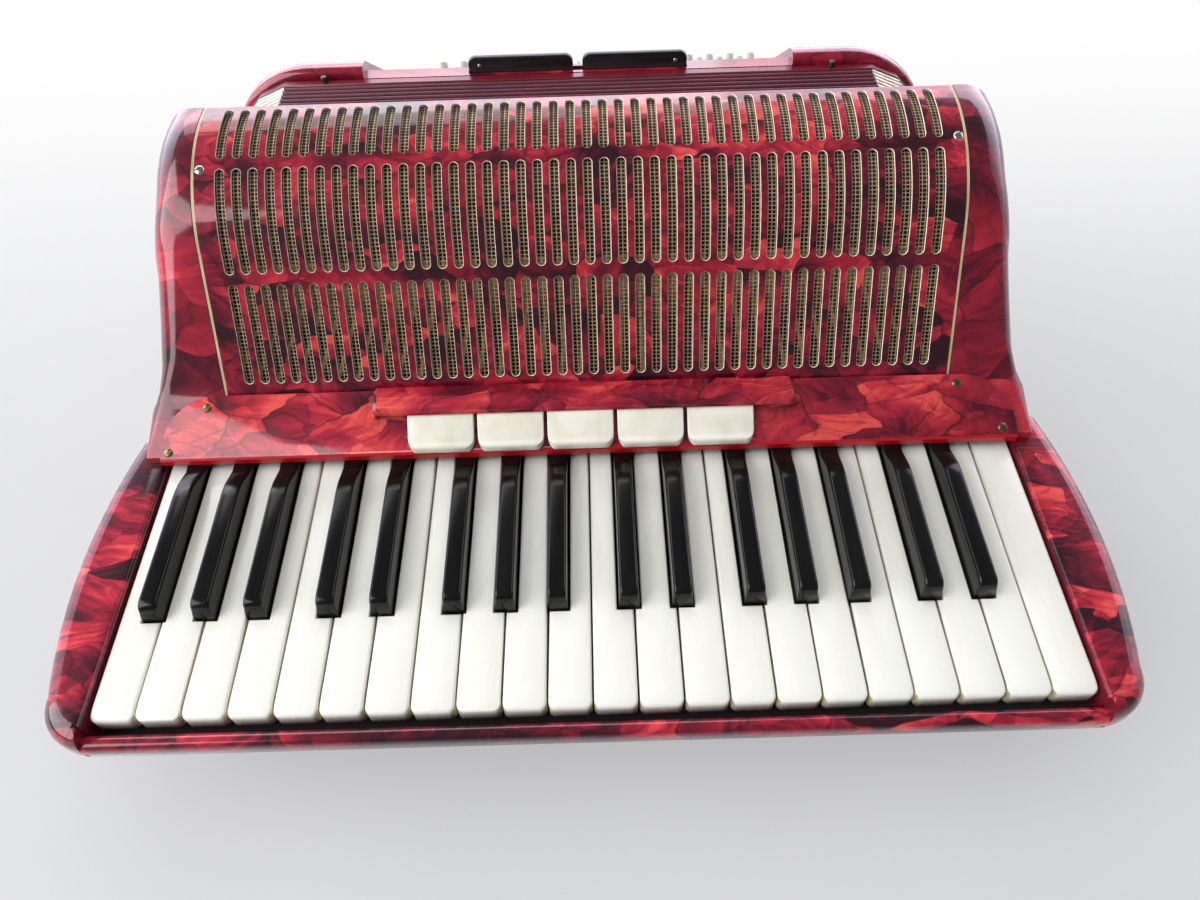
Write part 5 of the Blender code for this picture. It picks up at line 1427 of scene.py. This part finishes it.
def bass_casing():
    """The red bass shell: a roof that falls from the bellows to the strap, with round shoulders."""
    bm = skin([
        rounded_section(BASS_HALF - inset, y, top, inset, BASS_SHOULDER, BASS_FOOT_ROUND)
        for y, top, inset in bass_columns()
    ])
    length = (BASS_FACE - BASS_START) / math.cos(BOARD_SLOPE)
    high = BELLOWS_TOP + BASS_SHOULDER
    depth = BOARD_THICKNESS + SEAT_GAP
    bed = [(BASS_START - WALL, BELLOWS_TOP), (board_point(0)[0], BELLOWS_TOP)]
    bed += [board_point(0, depth), board_point(length, depth)]
    bed += [(board_point(length)[0], high), (BASS_START - WALL, high)]
    bm = carve(bm, [drawn(bed, "X", -BOARD_HALF, BOARD_HALF)])
    inner = BASS_HALF - BASS_WALL
    outside = BASS_FACE + WALL
    x, y, z = WHEEL
    reach = WHEEL_RADIUS + 0.0015
    side = WHEEL_THICKNESS / 2 + SEAT_GAP
    paddles = PADDLE_WIDTH + PADDLE_GAP / 2 + SEAT_GAP
    air = (AIR_BUTTON[0], AIR_BUTTON[2])
    # The hollow and the grooves take the dark inside finish, partly painted shade.
    bm = hollow_out(bm, [
        block(
            (-inner, inner), (BASS_START - BASS_WALL, BASS_FACE - BASS_WALL),
            (BASS_WALL, BASS_HOLLOW_TOP),
        ),
        block((x - side, x + side), (y - reach, outside), (z - reach, z + reach)),
        rod((PADDLE_DEPTH, BELLOWS_TOP), 0.0021, 16, "X", -paddles, paddles),
        rod((y, z), 0.0018, 12, "X", x - side - PIN_REACH, x + side + PIN_REACH),
        rod(air, 0.0028, 16, "Y", BASS_FACE - 0.013, outside),
        rod(air, AIR_RADIUS + SEAT_GAP, 32, "Y", BASS_FACE - 0.005, outside),
    ])
    add_piece(
        "bass_casing_shell", bm, (PEARLOID, INSIDE_STAIN_AND_SHADE, RED_EDGE), "bass", ("bass_casing",),
        35,
    )


def button_board():
    """The sloping black board with its rows of domed buttons."""
    length = (BASS_FACE - BASS_START - BOARD_RIM) / math.cos(BOARD_SLOPE) - 2 * BOARD_THICKNESS
    half = BOARD_HALF - SEAT_GAP
    bm = block((-half, half), (SEAT_GAP, length), (-BOARD_THICKNESS, 0))
    bevel(bm, rim_edges(bm, lambda co: co.z > -CLOSE), 0.0005, 2)
    paint(bm.faces, 1)
    first = (BUTTON_ROWS - 1) * BUTTON_SKEW / 2 - (BUTTON_COLUMNS - 1) * BUTTON_PITCH / 2
    buttons = bmesh.new()
    for row in range(BUTTON_ROWS):
        for column in range(BUTTON_COLUMNS):
            x = first + column * BUTTON_PITCH - row * BUTTON_SKEW
            y = FIRST_BUTTON_ROW + row * BUTTON_ROW_PITCH
            one = bmesh.new()
            bmesh.ops.create_cone(
                one, cap_ends=True, segments=16, radius1=BUTTON_RADIUS, radius2=BUTTON_RADIUS,
                depth=BUTTON_HEIGHT - 0.0001, matrix=Matrix.Translation((x, y, BUTTON_HEIGHT / 2)),
            )
            bevel(one, rim_edges(one, lambda co: co.z > BUTTON_HEIGHT - 0.0003), 0.0011, 3)
            merge(buttons, one)
    merge(bm, buttons)
    tilt = Matrix.Rotation(-BOARD_SLOPE, 4, "X")
    bm.transform(Matrix.Translation((0, *board_point(0))) @ tilt)
    add_piece(
        "bass_buttons", bm, (CREAM, SATIN_BLACK), "bass", ("bass_button_board",), 40
    )


def bass_paddle(name, side):
    """A black paddle with round corners and a bead along its foot, pinned by a small screw."""
    low = PADDLE_GAP / 2 if side > 0 else -PADDLE_GAP / 2 - PADDLE_WIDTH
    high = low + PADDLE_WIDTH
    y = PADDLE_DEPTH
    half, corner = PADDLE_THICKNESS / 2, PADDLE_CORNER
    top = BELLOWS_TOP + PADDLE_HEIGHT
    outline = [(high, BELLOWS_TOP), *arc((high - corner, top - corner), corner, 0, math.pi / 2, 10)]
    outline += arc((low + corner, top - corner), corner, math.pi / 2, math.pi, 10)
    outline.append((low, BELLOWS_TOP))
    bm = drawn(outline, "Y", y - half, y + half)
    bevel(bm, rim_edges(bm, lambda co: co.z > BELLOWS_TOP + CLOSE, 1, any), 0.0006, 3)
    bm = carve(bm, [rod((y, BELLOWS_TOP), 0.0018, 24, "X", low, high)], "UNION")
    add_piece(f"{name}_paddle", bm, (SATIN_BLACK,), name, (name,), 40)
    x = high - 0.006 if side > 0 else low + 0.006
    spot = (x, y - half, BELLOWS_TOP + 0.0034)
    screw(f"{name}_screw", spot, (0, -1, 0), PADDLE_SCREW, NICKEL, name)


def strap_depth(share):
    """Depth of the strap's inner side, from 0 at its middle to 1 at the end of its bow."""
    return BASS_FACE + SEAT_GAP + STRAP_BOW * math.cos(math.pi / 2 * share) ** 0.8


def hand_strap():
    """A leather band that bows out from the bass face, with a stitched hem and plated end screws."""
    face = BASS_FACE + SEAT_GAP
    bow_half = STRAP_HALF - STRAP_PAD
    inner = [(STRAP_HALF, face)]
    for i in range(33):
        share = 1 - 2 * i / 32
        inner.append((bow_half * share, strap_depth(share)))
    inner.append((-STRAP_HALF, face))
    outer = [(x, y + STRAP_THICKNESS) for x, y in reversed(inner)]
    bm = drawn(inner + outer, "Z", STRAP_BOTTOM, STRAP_BOTTOM + STRAP_WIDTH)
    bevel(bm, rim_edges(bm, lambda co: co.y > face + STRAP_THICKNESS - CLOSE, 2), 0.0008, 2)
    add_piece("bass_strap_leather", bm, (LEATHER,), "bass", ("bass_strap",), 40)
    stitches = bmesh.new()
    hem, count, reach = 0.004, 48, 0.94
    ahead = 0.01
    for level in (STRAP_BOTTOM + hem, STRAP_BOTTOM + STRAP_WIDTH - hem):
        for i in range(count):
            share = -reach + 2 * reach * i / (count - 1)
            y = strap_depth(share) + STRAP_THICKNESS
            slope = (strap_depth(share + ahead) - strap_depth(share)) / (bow_half * ahead)
            spin = Matrix.Rotation(math.atan(slope), 4, "Z") @ Matrix.Rotation(math.pi / 2, 4, "Y")
            place = Matrix.Translation((bow_half * share, y - 0.0003, level))
            bmesh.ops.create_cone(
                stitches, cap_ends=True, segments=6,
                radius1=STITCH_RADIUS, radius2=STITCH_RADIUS, depth=STITCH_LENGTH,
                matrix=place @ spin,
            )
    add_piece("bass_strap_stitches", stitches, (STRAP_THREAD,), "bass", (), 50)
    inset = STRAP_SCREW_INSET
    for end, x in (("left", inset - STRAP_HALF), ("right", STRAP_HALF - inset)):
        for height, share in (("low", 0.25), ("high", 0.75)):
            spot = (x, face + STRAP_THICKNESS, STRAP_BOTTOM + share * STRAP_WIDTH)
            name = f"strap_screw_{end}_{height}"
            screw(name, spot, (0, 1, 0), STRAP_SCREW, NICKEL, "bass")


def strap_wheel():
    """The knurled wheel that winds the strap in, on two short pins."""
    x, y, z = WHEEL
    half = WHEEL_THICKNESS / 2
    # Each of 16 teeth takes six points of the rim, this much below its crown.
    depths = (0, 0, 0.00025, 0.0006, 0.0006, 0.00025)
    rim = []
    count = 16 * len(depths)
    for i in range(count):
        radius = WHEEL_RADIUS - depths[i % len(depths)]
        turn = 2 * math.pi * i / count
        rim.append((y + radius * math.cos(turn), z + radius * math.sin(turn)))
    bm = drawn(rim, "X", x - half, x + half)
    bevel(bm, rim_edges(bm, lambda co: True, 0), 0.0004, 1)
    pin = rod((y, z), 0.0015, 16, "X", x - half - PIN_REACH, x + half + PIN_REACH)
    bm = carve(bm, [pin], "UNION")
    add_piece("strap_wheel_knurled", bm, (NICKEL,), "strap_wheel", ("strap_wheel",), 30)


def air_button():
    """A domed push button on its stem."""
    x, y, z = AIR_BUTTON
    proud = 0.005
    rings = []
    for radius, drop in (
        (0.000001, 0.0), (0.0024, 0.0001), (0.0045, 0.0006), (0.0058, 0.0013),
        (0.0066, 0.0023), (AIR_RADIUS, 0.0034), (AIR_RADIUS, proud), (0.000001, proud),
    ):
        ring = arc((x, z), radius, 0, 2 * math.pi, 40)[:-1]
        rings.append([(a, y + proud - drop, b) for a, b in ring])
    bm = skin(rings)
    bmesh.ops.remove_doubles(bm, verts=bm.verts, dist=WELD)
    stem = rod((x, z), 0.0025, 16, "Y", BASS_FACE - 0.006, BASS_FACE + 0.0035)
    bm = carve(bm, [stem], "UNION")
    add_piece("air_button_cap", bm, (NICKEL,), "air_button", ("air_button",), 40)


def finish_stage(name, bm, made, tree, shader, tone, strength, share):
    """A stage mesh that glows by itself for the given share of the rays."""
    glow = add_node(tree, "ShaderNodeEmission", {"Color": tone, "Strength": strength})
    mixed = add_node(
        tree, "ShaderNodeMixShader", {0: share, 1: shader.outputs["BSDF"], 2: glow["Emission"]}
    )
    output = next(node for node in tree.nodes if node.type == "OUTPUT_MATERIAL")
    feed(tree, output, {"Surface": mixed["Shader"]})
    stage = mesh_object(name, bm)
    stage.data.materials.append(made)


def floor():
    """A pale studio floor, which runs to plain white behind the instrument."""
    made, tree, shader, place = new_finish("pale studio floor", "d3d4d7", 0.55)
    depth = add_node(tree, "ShaderNodeSeparateXYZ", {"Vector": place})["Y"]
    paper = add_node(
        tree, "ShaderNodeTexNoise", {"Vector": place, "Scale": 9.0, "Detail": 3.0}
    )["Fac"]
    tint(tree, shader, paper, "cdced1", "dadbdd")
    far = add_node(
        tree, "ShaderNodeMapRange", {"Value": depth, "From Min": -0.15, "From Max": 0.50},
        interpolation_type="SMOOTHSTEP",
    )["Result"]
    tone = add_node(
        tree, "ShaderNodeMix", {0: far, 6: linear("d3d4d7"), 7: WHITE}, data_type="RGBA"
    )[2]
    seen = add_node(tree, "ShaderNodeLightPath")["Is Camera Ray"]
    even = add_node(
        tree, "ShaderNodeMapRange", {"Value": far, "To Min": 0.6, "To Max": 1.0}
    )["Result"]
    share = add_node(tree, "ShaderNodeMath", {0: even, 1: seen}, operation="MULTIPLY")["Value"]
    bm = bmesh.new()
    bmesh.ops.create_grid(bm, x_segments=2, y_segments=2, size=4)
    finish_stage("floor", bm, made, tree, shader, tone, 1.0, share)


def wall():
    """The white studio wall round the back and the sides. It glows: plain white where it is seen,
    and for the gloss alone at a strength from 1.2 to 4.4, rising towards the back, which puts
    painted reflections on the crest and the bass side. It lights the instrument only faintly."""
    made, tree, shader, place = new_finish("white studio wall", "ececee", 0.9)
    depth = add_node(tree, "ShaderNodeSeparateXYZ", {"Vector": place})["Y"]
    strength = add_node(
        tree, "ShaderNodeMapRange",
        {"Value": depth, "From Min": 0.2, "From Max": 2.4, "To Min": 1.2, "To Max": 4.4},
    )["Result"]
    rays = add_node(tree, "ShaderNodeLightPath")
    seen = rays["Is Camera Ray"]
    level = add_node(tree, "ShaderNodeMix", {0: seen, 2: strength, 3: 1.0})[0]
    tone = add_node(
        tree, "ShaderNodeMix", {0: seen, 6: linear("e8e4f6"), 7: WHITE}, data_type="RGBA"
    )[2]
    share = add_node(
        tree, "ShaderNodeMath", {0: seen, 1: rays["Is Glossy Ray"]}, operation="MAXIMUM"
    )["Value"]
    bm = bmesh.new()
    bmesh.ops.create_cone(
        bm, segments=96, radius1=3.2, radius2=3.2, depth=2.6, matrix=Matrix.Translation((0, 0, 1.3))
    )
    front = [face for face in bm.faces if face.calc_center_median().y < -0.4]
    bmesh.ops.delete(bm, geom=front, context="FACES")
    finish_stage("studio_wall", bm, made, tree, shader, tone, level, share)


def lamp(name, place, target, size, power, mirrored=True):
    """A soft panel. One that is not mirrored does not show in the gloss of the instrument."""
    light = bpy.data.lights.new(name, "AREA")
    light.shape = "RECTANGLE"
    light.size, light.size_y = size
    light.energy = power
    made = bpy.data.objects.new(name, light)
    made.visible_glossy = mirrored
    bpy.context.scene.collection.objects.link(made)
    away = Vector(place) - Vector(target)
    made.matrix_world = Matrix.Translation(place) @ away.to_track_quat("Z", "Y").to_matrix().to_4x4()


def studio():
    world = bpy.data.worlds.new("pale room")
    bpy.context.scene.world = world
    world.use_nodes = True
    background = world.node_tree.nodes["Background"]
    background.inputs["Color"].default_value = linear("e6e9ee")
    background.inputs["Strength"].default_value = 0.26
    middle = (0, 0, 0.1)
    # Most light falls from above, without showing in the black keys. A window behind the
    # instrument rakes over its crest, and one in front at the left lights the slots' edges.
    lamp("back window", (-0.6, 2.3, 2.1), middle, (2.4, 1.2), 24)
    lamp("ceiling panel", (0, 0.1, 2.5), (0, 0.1, 0), (3.4, 2.8), 36, False)
    lamp("left softbox", (-1.9, -0.7, 1.3), middle, (2.4, 2.0), 68)


def camera():
    """The photograph's own view, fitted to the corners of the keys."""
    lens = bpy.data.cameras.new("camera")
    lens.lens = 27
    lens.sensor_width = 36
    made = bpy.data.objects.new("camera", lens)
    bpy.context.scene.collection.objects.link(made)
    turn = Matrix.Rotation(math.radians(-1.70), 3, "Z") @ Matrix.Rotation(math.radians(0.18), 3, "Y")
    turn = (turn @ Matrix.Rotation(math.radians(142.28), 3, "X")).transposed()
    turn = turn @ Matrix.Diagonal((1, -1, -1))
    place = (0.00724, -0.14661 + KEY_FRONTS, 0.44122)
    made.matrix_world = Matrix.Translation(place) @ turn.to_4x4()
    bpy.context.scene.camera = made


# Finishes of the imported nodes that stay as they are.
for node, finish in (
    ("key_axle", STEEL),
    ("register_axle", STEEL),
    ("treble_reed_block", SPRUCE),
    ("bass_reed_block", SPRUCE),
):
    for index in range(len(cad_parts[node].material_slots)):
        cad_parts[node].material_slots[index].material = finish

treble_casing()
keyboard_frame()
for index in range(WHITE_COUNT):
    white_key(index)
for number, (_, x) in enumerate(black_places(), 1):
    black_key(number, x)
grille_plate()
grille_strips()
grille_gauze()
key_cover()
hood_lip()
casing_screws()
for number in range(1, 6):
    register_switch(number)
bellows()
bellows_corners()
bellows_frame()
frame_pins()
bass_casing()
button_board()
bass_paddle("bass_register_left", -1)
bass_paddle("bass_register_right", 1)
hand_strap()
strap_wheel()
air_button()
floor()
wall()
studio()
camera()

bpy.context.scene.view_settings.view_transform = "Standard"
